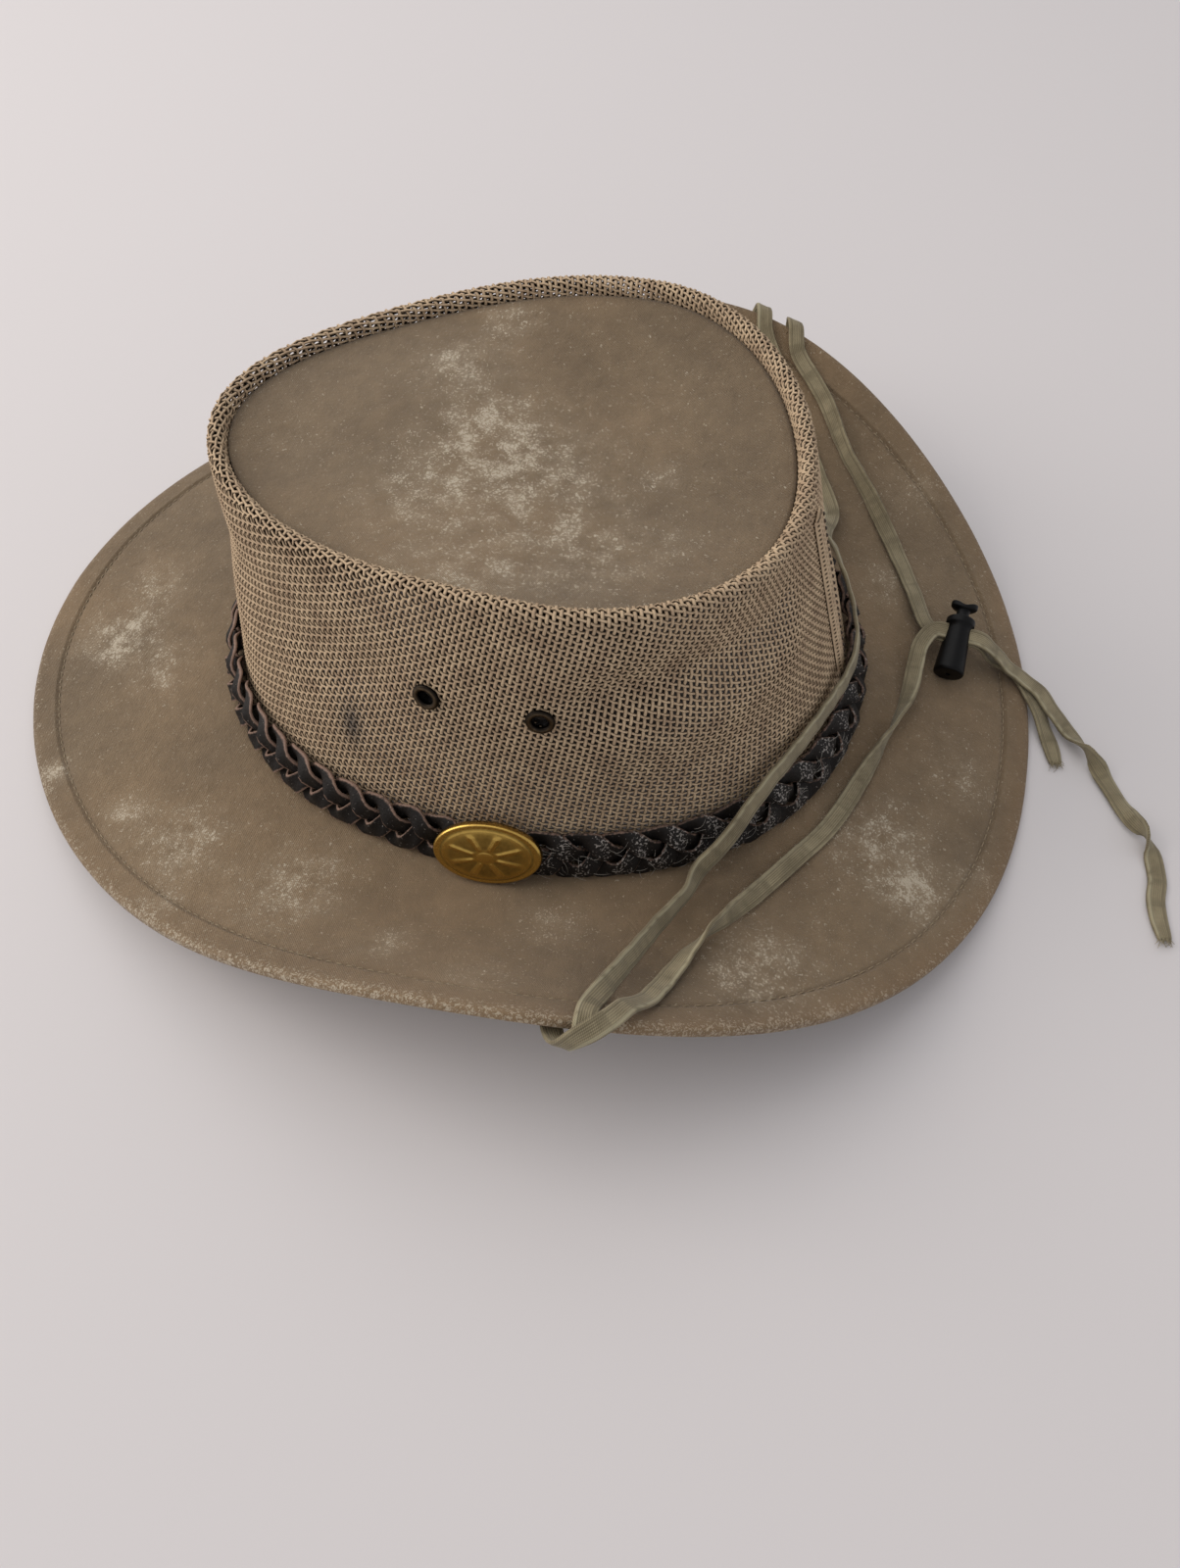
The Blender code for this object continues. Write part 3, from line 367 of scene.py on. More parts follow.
# Where the canvas is rubbed pale. Reach is in millimetres.
RUBBED_BRIM = (
    # turn, share_out, reach, strength
    (169, 0.63, 10, 0.9),
    (179, 0.56, 9, 0.4),
    (162, 0.38, 7, 0.6),
    (148, 0.92, 4, 0.7),
    (128, 0.61, 10, 0.6),
    (137, 0.72, 6, 0.5),
    (110, 0.49, 12, 0.6),
    (121, 0.90, 4, 0.6),
    (92, 0.67, 6, 0.4),
    (22, 0.47, 12, 0.7),
    (25, 0.72, 7, 0.6),
    (48, 0.71, 13, 0.6),
    (17, 0.89, 5, 0.4),
    (-28, 0.36, 7, 0.4),
    (72, 0.39, 7, 0.4),
    (80, 0.78, 7, 0.3),
    (5, 0.67, 9, 0.3),
    (-42, 0.82, 7, 0.3),
    (-75, 0.55, 12, 0.5),
    (-120, 0.70, 10, 0.5),
    (-150, 0.45, 12, 0.4),
)
RUBBED_TIP = (
    # turn, share_out, reach, strength
    (-144, 0.60, 8, 0.9),
    (-127, 0.86, 7, 0.6),
    (-149, 0.12, 12, 0.8),
    (61, 0.19, 18, 0.7),
    (141, 0.45, 14, 0.5),
    (66, 0.63, 15, 0.5),
    (114, 0.89, 11, 0.5),
    (-2, 0.55, 4, 0.5),
    (97, 0.84, 8, 0.4),
    (36, 0.73, 5, 0.4),
    (176, 0.77, 8, 0.2),
)

# The chin strap's route, as in the solids: face is where the tape's face looks, roll
# turns the tape about its own run, and lift, up and out are in millimetres. Under the brim each
# length lies straight out from its tab.
STRAP_UNDER_TURNS = {"left": 71.7, "right": -69.0, "rear_near": 66.2, "rear_far": -74.6}
STRAP_UNDER_SHARES = (0.140, 0.220, 0.400, 0.600, 0.800)
LEFT_STRAP_TO_LOCK = (
    # turn, share_out, face, lift, roll
    (71.7, 0.920, 180, 0.6, 0),
    (70.9, 0.985, 140, 2.7, 0),
    (69.4, 0.995, 90, 3.3, 0),
    (67.3, 0.990, 50, 3.8, 0),
    (65.1, 0.950, 14, 3.0, 0),
    (62.8, 0.880, 0, 0.9, 0),
    (59.6, 0.736, 0, 0, -8),
    (55.4, 0.588, 0, 0, -36),
    (51.6, 0.495, 0, 0, -85),
    (45.5, 0.389, 0, 0, -138),
    (39.6, 0.313, 0, 0, -160),
    (32.9, 0.256, 0, 0, -172),
    (26.2, 0.230, 0, 0, -178),
    (20.6, 0.210, 0, 0, -175),
    (14.5, 0.196, 0, 0, -165),
    (8.0, 0.208, 0, 0, -130),
    (1.5, 0.250, 0, 0, -85),
    (-5.0, 0.300, 0, 0.8, -45),
    (-10.8, 0.335, 0, 2.4, -15),
    (-14.6, 0.370, 0, 5.2, 0),
)
LEFT_TAIL_ON_BRIM = (
    # turn, share_out, face, lift, roll
    (-14.5, 0.770, 0, 7.2, 0),
    (-13.5, 0.865, 0, 3.4, 0),
    (-12.7, 0.950, 0, 1.9, 0),
)
LEFT_TAIL = (
    # x, y, z, face, towards
    (-31.6, 174.4, 6.5, 5, 0),
    (-25.1, 180.2, 4.7, 10, 0),
    (-19.4, 186.0, 3.0, 10, 0),
    (-14.5, 189.8, 3.9, 45, 0),
    (-11.1, 192.5, 5.0, 90, 0),
    (-8.0, 195.2, 3.6, 135, 0),
    (-3.6, 198.9, 1.2, 180, 0),
    (4.3, 203.8, 1.2, 180, 0),
    (11.2, 207.3, 3.6, 135, -30),
    (14.9, 209.9, 5.0, 90, -30),
    (17.6, 211.9, 3.6, 45, -30),
    (21.6, 213.9, 1.2, 0, 0),
    (29.0, 215.4, 0.9, 0, 0),
    (38.9, 215.2, 0.9, 0, 0),
    (50.0, 217.8, 0.9, 0, 0),
)
RIGHT_STRAP_TO_LOCK = (
    # turn, share_out, face, lift, roll
    (-69.0, 0.920, 180, 0.2, 0),
    (-69.2, 0.988, 140, 0.5, 0),
    (-69.4, 1.000, 90, 0, 0),
    (-68.6, 0.988, 40, 0.5, 0),
    (-66.6, 0.920, 0, 0.3, 0),
    (-62.4, 0.850, 0, 0, 5),
    (-58.8, 0.790, 0, 0, 20),
    (-52.1, 0.655, 0, 0, 55),
    (-44.2, 0.566, 0, 0, 50),
    (-36.0, 0.505, 0, 0, 12),
    (-29.3, 0.475, 0, 0.4, 0),
    (-24.4, 0.455, 0, 1.6, 0),
    (-20.2, 0.440, 0, 3.0, 0),
)
RIGHT_TAIL_ON_BRIM = (
    # turn, share_out, face, lift, roll
    (-14.9, 0.777, 0, 3.0, 0),
    (-14.1, 0.885, 0, 1.2, 0),
    (-13.2, 0.950, 0, 0.2, 0),
    (-11.7, 0.985, 0, 0.2, 0),
)
RIGHT_TAIL = (
    # x, y, z, face, towards
    (-27.6, 173.9, 4.6, 10, 0),
    (-21.0, 177.4, 2.4, 20, 0),
    (-14.0, 180.6, 1.0, 0, 0),
    (-7.4, 182.7, 1.0, 0, 0),
)
REAR_STRAP_NEAR_SIDE = (
    # turn, share_out, face, lift, roll
    (67.4, 0.920, 180, 0.3, 0),
    (68.7, 0.988, 140, 0.6, 0),
    (69.0, 1.000, 90, 0, 0),
    (69.0, 0.988, 40, 0.5, 0),
    (68.4, 0.934, 0, 0.3, 8),
    (66.0, 0.787, 0, 0, 46),
    (62.6, 0.620, 0, 0, 60),
    (57.4, 0.424, 0, 0, 67),
    (51.8, 0.275, 0, 0, 74),
)
REAR_STRAP_BEHIND_CROWN = (
    # turn, up, out, face
    (46.8, 4.5, 11.5, 70),
    (42.8, 9.5, 10.2, 75),
    (39.4, 14.0, 8.6, 78),
    (35.8, 17.5, 6.8, 80),
    (31.0, 20.5, 5.0, 82),
    (25.0, 22.3, 3.6, 84),
    (18.0, 23.0, 2.8, 86),
    (11.0, 22.5, 2.9, 88),
    (3.5, 21.5, 4.2, 90),
    (-4.0, 20.5, 5.0, 90),
    (-11.0, 19.7, 4.4, 90),
    (-18.0, 18.9, 4.2, 88),
    (-25.0, 17.4, 4.8, 84),
    (-31.5, 13.8, 7.2, 70),
    (-37.0, 9.2, 9.6, 50),
)
REAR_STRAP_FAR_SIDE = (
    # turn, share_out, face, lift, roll
    (-44.4, 0.331, 0, 0.5, -10),
    (-52.0, 0.460, 0, 0, 0),
    (-60.0, 0.621, 0, 0, 0),
    (-66.5, 0.781, 0, 0, 0),
    (-71.7, 0.921, 0, 0.4, 0),
    (-73.4, 0.988, 40, 0.5, 0),
    (-74.0, 1.000, 90, 0, 0),
    (-74.3, 0.988, 140, 0.5, 0),
    (-74.6, 0.920, 180, 0.3, 0),
)


# Forms of the hat. Turns are in radians here, and arrays of them give arrays of points.


def spot(x, y, z):
    """Points from their three measures."""
    return np.stack(np.broadcast_arrays(x, y, z), axis=-1).astype(float)


def unit(v):
    """Vectors brought to length 1."""
    return v / np.linalg.norm(v, axis=-1, keepdims=True)


def times(v, k):
    """Vectors times numbers."""
    return v * np.asarray(k)[..., None]


def fading(away, reach):
    """1 at a place, fading softly to nothing at about twice this reach from it."""
    return np.exp(-((away / reach) ** 2))


def all_round(count):
    """Turns all the way round, in a column."""
    return np.linspace(0, 2 * math.pi, count, endpoint=False)[:, None]


def oval(turn, half_width, back, front, power_back, power_front):
    """X and Y on an oval whose back and front halves differ in reach and squareness."""
    s, c = np.sin(turn), np.cos(turn)
    reach = np.where(c > 0, back, front)
    power = np.where(c > 0, power_back, power_front)
    r = (np.abs(s / half_width) ** power + np.abs(c / reach) ** power) ** (-1 / power)
    return r * s, r * c


def crown_foot(turn):
    """The line on the brim's upper face where the wall stands."""
    half, length, power = CROWN_HALF_WIDTH, CROWN_HALF_LENGTH, CROWN_SQUARENESS
    x, y = oval(turn, half, length, length, power, power)
    z = FOOT_HEIGHT + FOOT_SIDE_RISE * np.sin(turn) ** 2 + FOOT_BACK_RISE * np.cos(turn)
    return spot(x, y + WIDEST_Y, z)


def brim_edge(turn):
    """The middle of the brim's edge, curled up at the sides."""
    x, y = oval(
        turn, BRIM_HALF_WIDTH, BRIM_BACK, BRIM_FRONT, BRIM_SQUARENESS_BACK, BRIM_SQUARENESS_FRONT
    )
    leaned = turn + CURL_BACKWARD_LEAN * np.sin(turn) - CURL_FRONT_EASE * np.sin(2 * turn)
    rise = BRIM_SIDE_CURL * np.abs(np.sin(leaned)) ** CURL_SHARPNESS
    return spot(x, y + WIDEST_Y, HEM_THICKNESS / 2 - HEM_PRESSED_FLAT + rise)


def brim_width(turn):
    """How wide the brim is at this turn."""
    return np.linalg.norm(brim_edge(turn) - crown_foot(turn), axis=-1)


def brim_middle(turn, share):
    """The brim's middle surface, share of the way from the crown's foot to the edge."""
    turn, share = np.broadcast_arrays(turn, share)
    foot = crown_foot(turn) - UP * BRIM_THICKNESS / 2
    edge = brim_edge(turn)
    point = foot + times(edge - foot, share)
    hollow = 1 + CURL_HOLLOW * np.sin(turn) ** 2
    point[..., 2] = foot[..., 2] + (edge - foot)[..., 2] * np.maximum(share, 0) ** hollow
    return point


def brim_normal(turn, share):
    """The way the brim's upper face looks."""
    step = SLOPE_STEP
    around = brim_middle(turn + step, share) - brim_middle(turn - step, share)
    out = brim_middle(turn, share + step) - brim_middle(turn, np.maximum(share - step, 0))
    return unit(np.cross(around, out))


def rim_line(turn, offset):
    """The tip's outline, moved outward by offset."""
    pull = 0
    for at, reach, depth in RIM_PULLS:
        away = (np.degrees(turn) - at + 180) % 360 - 180
        pull = pull + depth * TIP_HALF_WIDTH * fading(away, reach)
    offset = offset - pull
    x, y = oval(
        turn,
        TIP_HALF_WIDTH + offset,
        TIP_BACK + offset,
        TIP_FRONT + offset,
        TIP_SQUARENESS_BACK,
        TIP_SQUARENESS_FRONT,
    )
    z = TIP_HEIGHT + TIP_SIDE_RISE * np.sin(turn) ** 2
    return spot(x, y + WIDEST_Y + TIP_SHIFT_BACK, z)


def fold_depth(turn, share):
    """How far the wall swells, above 0, or sinks at this place."""
    height = TIP_HEIGHT - FOOT_HEIGHT
    turned = (turn + math.pi) % (2 * math.pi) - math.pi
    x, y = turned * CROWN_HALF_WIDTH, share * height
    total = 0
    for turn_a, height_a, turn_b, height_b, reach, depth in WALL_FOLDS:
        ax, bx = math.radians(turn_a) * CROWN_HALF_WIDTH, math.radians(turn_b) * CROWN_HALF_WIDTH
        ay, by = height_a * height, height_b * height
        along = ((x - ax) * (bx - ax) + (y - ay) * (by - ay)) / ((bx - ax) ** 2 + (by - ay) ** 2)
        along = np.clip(along, 0, 1)
        away = np.hypot(x - ax - along * (bx - ax), y - ay - along * (by - ay))
        total = total + depth * CROWN_HALF_WIDTH * fading(away, reach * CROWN_HALF_WIDTH)
    return total * np.sqrt(np.sin(math.pi * np.clip(share, 0, 1)).clip(0))


def wall_face(turn, share):
    """The outer face of the mesh wall, share of the way from its foot to the roll."""
    turn, share = np.broadcast_arrays(turn, share)
    foot = crown_foot(turn)
    top = rim_line(turn, ROLL_OFFSET + ROLL_RADIUS) + UP * ROLL_OFFSET
    out = spot(np.sin(turn), np.cos(turn), 0)
    return foot + times(top - foot, share) + times(out, fold_depth(turn, share))


def wall_axes(turn, share):
    """Unit vectors round the wall, up it, and out of its face."""
    step = SLOPE_STEP
    around = unit(wall_face(turn + step, share) - wall_face(turn - step, share))
    up = unit(wall_face(turn, share + step) - wall_face(turn, share - step))
    out = unit(np.cross(up, around))
    return around, np.cross(around, out), out


def tip_place(turn, share):
    """X and Y on the tip, share of the way from its middle to its outline."""
    centre = spot(0, WIDEST_Y + TIP_SHIFT_BACK - (TIP_FRONT - TIP_BACK) / 2, 0)
    edge = rim_line(turn, ROLL_OFFSET - ROLL_RADIUS - GAP)
    return (centre + times(edge - centre, share))[..., :2]


def tip_height(turn, share):
    """Height of the tip's upper face."""
    middle = TIP_HEIGHT + TIP_SIDE_RISE / 2 - TIP_SAG
    height = middle + (rim_line(turn, 0)[..., 2] - middle) * share**TIP_DISH
    here = tip_place(turn, share)
    for at, out, reach, depth in TIP_HOLLOWS:
        away = np.linalg.norm(here - tip_place(math.radians(at), out), axis=-1)
        sunk = depth * TIP_SAG * fading(away, reach * TIP_HALF_WIDTH)
        height = height - sunk * (1 - share ** (3 * TIP_DISH))
    return height


def placed(origin, x_axis, y_axis, z_axis):
    """The 4 by 4 matrix that carries an object's own axes to these ones at origin."""
    made = np.eye(4)
    made[:3, :3] = np.stack([x_axis, y_axis, z_axis], axis=1)
    made[:3, 3] = origin
    return made


def carried(place, points):
    """Points given in a place's own axes, in the hat's axes."""
    return np.asarray(points) @ place[:3, :3].T + place[:3, 3]


def ripple(points, height, size, seed):
    """Soft waves of this height over about this size, the same on every run."""
    rng = np.random.default_rng(seed)
    total = np.zeros(points.shape[:-1])
    for _ in range(RIPPLE_WAVES):
        run = unit(rng.normal(size=3)) * rng.uniform(0.7, 1.4) * 2 * math.pi / size
        total += np.sin(points @ run + rng.uniform(0, 2 * math.pi))
    return height * (total / RIPPLE_WAVES)


# Making pieces.


def grid_quads(rows, columns, close_rows, close_columns):
    """Quads of a grid of points whose rows or columns may close on themselves."""
    i = np.arange(rows if close_rows else rows - 1)[:, None]
    j = np.arange(columns if close_columns else columns - 1)[None, :]
    i2, j2 = (i + 1) % rows, (j + 1) % columns
    corners = ((i, j), (i2, j), (i2, j2), (i, j2))
    quads = np.stack(np.broadcast_arrays(*(row * columns + column for row, column in corners)))
    return quads.reshape(4, -1).T


def tube_quads(count, stations, around):
    """Quads of so many open tubes, one after the other in a list of points."""
    one = grid_quads(stations, around, False, True)
    return (one + (np.arange(count) * stations * around)[:, None, None]).reshape(-1, 4)


def tube_caps(count, stations, around):
    """The corners of both ends of each of these tubes."""
    last = (stations - 1) * around
    starts = [i * stations * around + end for i in range(count) for end in (0, last)]
    return [range(start, start + around) for start in starts]


def both_faces(upper, lower):
    """Rows of points or numbers that go out over an upper face and back under a lower one."""
    return np.concatenate([upper, lower[:, ::-1]], axis=1)


def piece_of(name, points, quads, finish, caps=(), turn_out=True):
    """A smooth mesh piece. Caps are lists of corners that close its ends."""
    mesh = bpy.data.meshes.new(name)
    points = np.asarray(points, float).reshape(-1, 3)
    faces = quads.tolist() + [list(map(int, cap)) for cap in caps]
    mesh.from_pydata(points.tolist(), [], faces)
    if turn_out:
        shaped = bmesh.new()
        shaped.from_mesh(mesh)
        bmesh.ops.recalc_face_normals(shaped, faces=shaped.faces)
        shaped.to_mesh(mesh)
        shaped.free()
    mesh.shade_smooth()
    mesh.materials.append(finish)
    piece = bpy.data.objects.new(name, mesh)
    bpy.context.scene.collection.objects.link(piece)
    return piece


def mark(piece, name, values):
    """Keeps a number, or three, at each point of a piece, for its finish to read."""
    values = np.asarray(values, np.float32)
    if values.shape[-1:] == (3,) and values.size == 3 * len(piece.data.vertices):
        kept = piece.data.attributes.new(name, "FLOAT_VECTOR", "POINT")
        kept.data.foreach_set("vector", values.ravel())
    else:
        kept = piece.data.attributes.new(name, "FLOAT", "POINT")
        kept.data.foreach_set("value", values.ravel())


def settle(piece):
    """Applies a piece's modifiers to its mesh."""
    shaped = piece.evaluated_get(bpy.context.evaluated_depsgraph_get())
    mesh = bpy.data.meshes.new_from_object(shaped)
    piece.modifiers.clear()
    piece.data = mesh


def wear(piece, slot, *nodes, body="hat"):
    """Puts a piece on its body, in place of these solids. The slot is not used."""
    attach(piece, body)
    if nodes:
        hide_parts(*nodes)
    return piece


# Camera, floor and light.


def set_camera():
    """The camera, at the photo's own angle to the hat."""
    pitch, turn, roll = (math.radians(a) for a in (CAMERA_PITCH, CAMERA_TURN, CAMERA_ROLL))
    back = np.array(
        (math.sin(turn) * math.cos(pitch), -math.cos(turn) * math.cos(pitch), math.sin(pitch))
    )
    right = np.array((math.cos(turn), math.sin(turn), 0))
    up = np.cross(back, right)
    rolled_right = right * math.cos(roll) + up * math.sin(roll)
    rolled_up = up * math.cos(roll) - right * math.sin(roll)
    lens = bpy.data.cameras.new("camera")
    lens.sensor_width = SENSOR
    lens.lens = LENS_PIXELS * SENSOR / PHOTO_LONG_SIDE
    lens.clip_start = 0.01
    camera = bpy.data.objects.new("camera", lens)
    camera.matrix_world = Matrix(placed(CAMERA_PLACE, rolled_right, rolled_up, back).tolist())
    bpy.context.scene.collection.objects.link(camera)
    bpy.context.scene.camera = camera


def add_lamp(name, place, aim, size, power, colour):
    """A square studio lamp that looks at aim."""
    light = bpy.data.lights.new(name, "AREA")
    light.size = size
    light.energy = power
    light.color = linear(colour)[:3]
    lamp = bpy.data.objects.new(name, light)
    lamp.location = place
    lamp.rotation_euler = (Vector(aim) - Vector(place)).to_track_quat("-Z", "Y").to_euler()
    bpy.context.scene.collection.objects.link(lamp)


def set_studio():
    """A pale floor with shade painted into it under the crown, a soft key lamp low in front of the hat,
    a larger one high over its front and far side, and soft light all round."""
    half = FLOOR_SIZE / 2
    points = [(x, y, 0) for x, y in ((-half, -half), (half, -half), (half, half), (-half, half))]
    floor = piece_of("floor", points, np.array([[0, 1, 2, 3]]), matt_floor_painted_shade(), turn_out=False)
    for lamp in LAMPS:
        add_lamp(*lamp)
    world = bpy.data.worlds.new("studio")
    world.use_nodes = True
    sky = world.node_tree.nodes["Background"]
    fill(sky, {"Color": SKY_COLOUR, "Strength": SKY_STRENGTH})
    bpy.context.scene.world = world
    bpy.context.scene.view_settings.view_transform = "Standard"


# Finishes. A pattern's scale is 1 over its size in metres.


def linear(colour):
    """An sRGB hex colour as a linear one."""
    channels = [int(colour[i : i + 2], 16) / 255 for i in (1, 3, 5)]
    return (*(c / 12.92 if c < 0.04045 else ((c + 0.055) / 1.055) ** 2.4 for c in channels), 1)


def fill(made, sockets):
    """Gives a node's sockets their links, values or hex colours."""
    for name, value in sockets.items():
        if isinstance(value, bpy.types.NodeSocket):
            made.id_data.links.new(value, made.inputs[name])
        else:
            made.inputs[name].default_value = linear(value) if isinstance(value, str) else value


def node(tree, kind, sockets, out=0, **settings):
    """Adds a node with its settings and sockets, and gives one of its outputs."""
    made = tree.nodes.new("ShaderNode" + kind)
    for name, value in settings.items():
        setattr(made, name, value)
    fill(made, sockets)
    return made.outputs[out]


def new_finish(name, sockets):
    """A finish with these values on its shader, its nodes, its shader and the places on a piece."""
    finish = bpy.data.materials.new(name)
    finish.use_nodes = True
    tree = finish.node_tree
    shader = tree.nodes["Principled BSDF"]
    fill(shader, sockets)
    return finish, tree, shader, node(tree, "TexCoord", {}, "Object")


def matt_floor_painted_shade():
    """Pale matt card. Towards its middle, under the crown and out of sight, a deeper shade is painted
    into its colour, so that the holes of the mesh look as dark as on the real hat."""
    finish, tree, shader, lay = new_finish("matt_floor_painted_shade", {"Roughness": 0.7})
    middle = node(tree, "VectorMath", {0: lay, 1: (0, WIDEST_Y, 0)}, operation="SUBTRACT")
    reach = (CROWN_HALF_WIDTH, CROWN_HALF_LENGTH, 1)
    away = node(tree, "VectorMath", {0: middle, 1: reach}, operation="DIVIDE")
    away = node(tree, "VectorMath", {0: away}, "Value", operation="LENGTH")
    outside_painted_shade = node(tree, "MapRange", {"Value": away, "From Min": FLOOR_PAINTED_SHADE_REACH})
    # Painted shade: the floor's colour darkens towards its middle, under the crown.
    sockets = {0: outside_painted_shade, 6: FLOOR_PAINTED_SHADE, 7: FLOOR_COLOUR}
    colour = node(tree, "Mix", sockets, 2, data_type="RGBA")
    fill(shader, {"Base Color": colour})
    return finish


def brushed_canvas():
    """Heavy cotton canvas, waxed and brushed. It looks like suede: matt, mottled in soft clouds of
    warmer and cooler taupe, with pale flecks in drifts where the wax has rubbed off its threads."""
    finish, tree, shader, lay = new_finish(
        "brushed_canvas", {"Roughness": 0.82, "Specular IOR Level": 0.3, "Sheen Weight": 0.12}
    )
    cloud = node(tree, "TexNoise", {"Vector": lay, "Scale": 1 / 0.042, "Detail": 3.0})
    sockets = {"Value": cloud, "From Min": 0.34, "From Max": 0.66, "To Min": 0.2, "To Max": 0.8}
    cloud = node(tree, "MapRange", sockets)
    warm = node(tree, "TexNoise", {"Vector": lay, "Scale": 1 / 0.085, "Detail": 2.0})
    warm = node(tree, "MapRange", {"Value": warm, "From Min": 0.4, "From Max": 0.6})
    sockets = {"Vector": lay, "Scale": 1 / 0.0052, "Detail": 5.0, "Roughness": 0.65}
    mottle = node(tree, "TexNoise", sockets)
    mottle = node(tree, "MapRange", {"Value": mottle, "From Min": 0.32, "From Max": 0.68})
    dark = node(tree, "Mix", {0: warm, 6: "#685844", 7: "#6D5B44"}, 2, data_type="RGBA")
    light = node(tree, "Mix", {0: warm, 6: "#8B785E", 7: "#907A5E"}, 2, data_type="RGBA")
    tone = node(tree, "Math", {0: cloud, 1: 0.6}, operation="MULTIPLY")
    tone = node(tree, "Math", {0: mottle, 1: 0.3, 2: tone}, operation="MULTIPLY_ADD")
    ground = node(tree, "Mix", {0: tone, 6: dark, 7: light}, 2, data_type="RGBA")
    # Where it is rubbed, pale threads show through the wax, thicker towards the middle of each drift.
    rubbed = node(tree, "Attribute", {}, "Fac", attribute_name="rubbed")
    drift = node(tree, "TexNoise", {"Vector": lay, "Scale": 1 / 0.0075, "Detail": 5.0, "Roughness": 0.6})
    sockets = {"Value": drift, "From Min": 0.36, "From Max": 0.62, "To Min": 0.2, "To Max": 1.9}
    patchy = node(tree, "MapRange", sockets)
    stray = node(tree, "MapRange", {"Value": drift, "From Min": 0.54, "From Max": 0.78, "To Max": 0.16})
    density = node(tree, "Math", {0: rubbed, 1: patchy, 2: stray}, operation="MULTIPLY_ADD")
    haze = node(tree, "Math", {0: density, 1: 0.26}, operation="MULTIPLY", use_clamp=True)
    ground = node(tree, "Mix", {0: haze, 6: ground, 7: "#B5A68E"}, 2, data_type="RGBA")
    # Flecks are single threads of .5 mm, drawn a little coarser.
    fleck = node(tree, "TexNoise", {"Vector": lay, "Scale": 1 / 0.0010, "Detail": 4.0, "Distortion": 1.4})
    crack = node(tree, "TexVoronoi", {"Vector": lay, "Scale": 1 / 0.0016}, feature="DISTANCE_TO_EDGE")
    crack = node(tree, "MapRange", {"Value": crack, "From Max": 0.16, "To Min": -0.09, "To Max": 0.02})
    fleck = node(tree, "Math", {0: fleck, 1: crack}, operation="ADD")
    fleck = node(tree, "Math", {0: density, 1: 0.15, 2: fleck}, operation="MULTIPLY_ADD")
    frayed = node(tree, "Attribute", {}, "Fac", attribute_name="frayed")
    fleck = node(tree, "Math", {0: frayed, 1: 0.13, 2: fleck}, operation="MULTIPLY_ADD")
    fleck = node(tree, "MapRange", {"Value": fleck, "From Min": 0.63, "From Max": 0.75, "To Max": 0.66})
    colour = node(tree, "Mix", {0: fleck, 6: ground, 7: "#CDC2AD"}, 2, data_type="RGBA")
    # The rim is tanned by handling, and shade is painted darker into the stitched groove and round the
    # tip's edge.
    for place, strength, hue in (("rim", 0.4, "#85694A"), ("sunk", 0.25, "#4A3E32")):
        share = node(tree, "Attribute", {}, "Fac", attribute_name=place)
        share = node(tree, "Math", {0: share, 1: strength}, operation="MULTIPLY")
        colour = node(tree, "Mix", {0: share, 6: colour, 7: hue}, 2, data_type="RGBA")
    # The threads stand .7 mm apart, warp along the hat and weft across it.
    axes = node(tree, "VectorMath", {0: lay, 3: 2 * math.pi / 0.0007}, operation="SCALE")
    waves = node(tree, "VectorMath", {0: axes}, operation="SINE")
    warp = node(tree, "SeparateXYZ", {0: waves}, "X")
    weft = warp.node.outputs["Y"]
    tooth = node(tree, "Math", {0: warp, 1: weft}, operation="MULTIPLY")
    nap = node(tree, "TexNoise", {"Vector": lay, "Scale": 1 / 0.0011, "Detail": 4.0, "Roughness": 0.7})
    height = node(tree, "Math", {0: tooth, 1: 0.14, 2: nap}, operation="MULTIPLY_ADD")
    height = node(tree, "Math", {0: mottle, 1: 0.5, 2: height}, operation="MULTIPLY_ADD")
    bump = node(tree, "Bump", {"Height": height, "Strength": 0.7, "Distance": 0.0008})
    fill(shader, {"Base Color": colour, "Normal": bump})
    return finish


def spun_mesh_yarn():
    """Thick coated polyester and cotton yarn, woven open. Each yarn is matt and a little hairy, paler
    on its crown than in its sides and inner face, where shade is painted dark, and no two are dyed quite
    alike."""
    finish, tree, shader, lay = new_finish(
        "spun_mesh_yarn", {"Roughness": 0.78, "Specular IOR Level": 0.12}
    )
    dyed = node(tree, "Attribute", {}, "Fac", attribute_name="dyed")
    patch = node(tree, "TexNoise", {"Vector": lay, "Scale": 1 / 0.006, "Detail": 4.0, "Roughness": 0.6})
    tone = node(tree, "Math", {0: dyed, 1: 0.05, 2: patch}, operation="MULTIPLY_ADD")
    tone = node(tree, "MapRange", {"Value": tone, "From Min": 0.3, "From Max": 0.7})
    colour = node(tree, "Mix", {0: tone, 6: "#AD957B", 7: "#D2BA9A"}, 2, data_type="RGBA")
    # The smudge is a stain; inner is painted shade, dark on the yarns' sides and inner faces and in the
    # seam's holes.
    for place, hue in (("smudge", "#5E5752"), ("inner", "#21160C")):
        share = node(tree, "Attribute", {}, "Fac", attribute_name=place)
        colour = node(tree, "Mix", {0: share, 6: colour, 7: hue}, 2, data_type="RGBA")
    fibre = node(tree, "TexNoise", {"Vector": lay, "Scale": 1 / 0.0004, "Detail": 2.0})
    bump = node(tree, "Bump", {"Height": fibre, "Strength": 0.35, "Distance": 0.0002})
    fill(shader, {"Base Color": colour, "Normal": bump})
    return finish


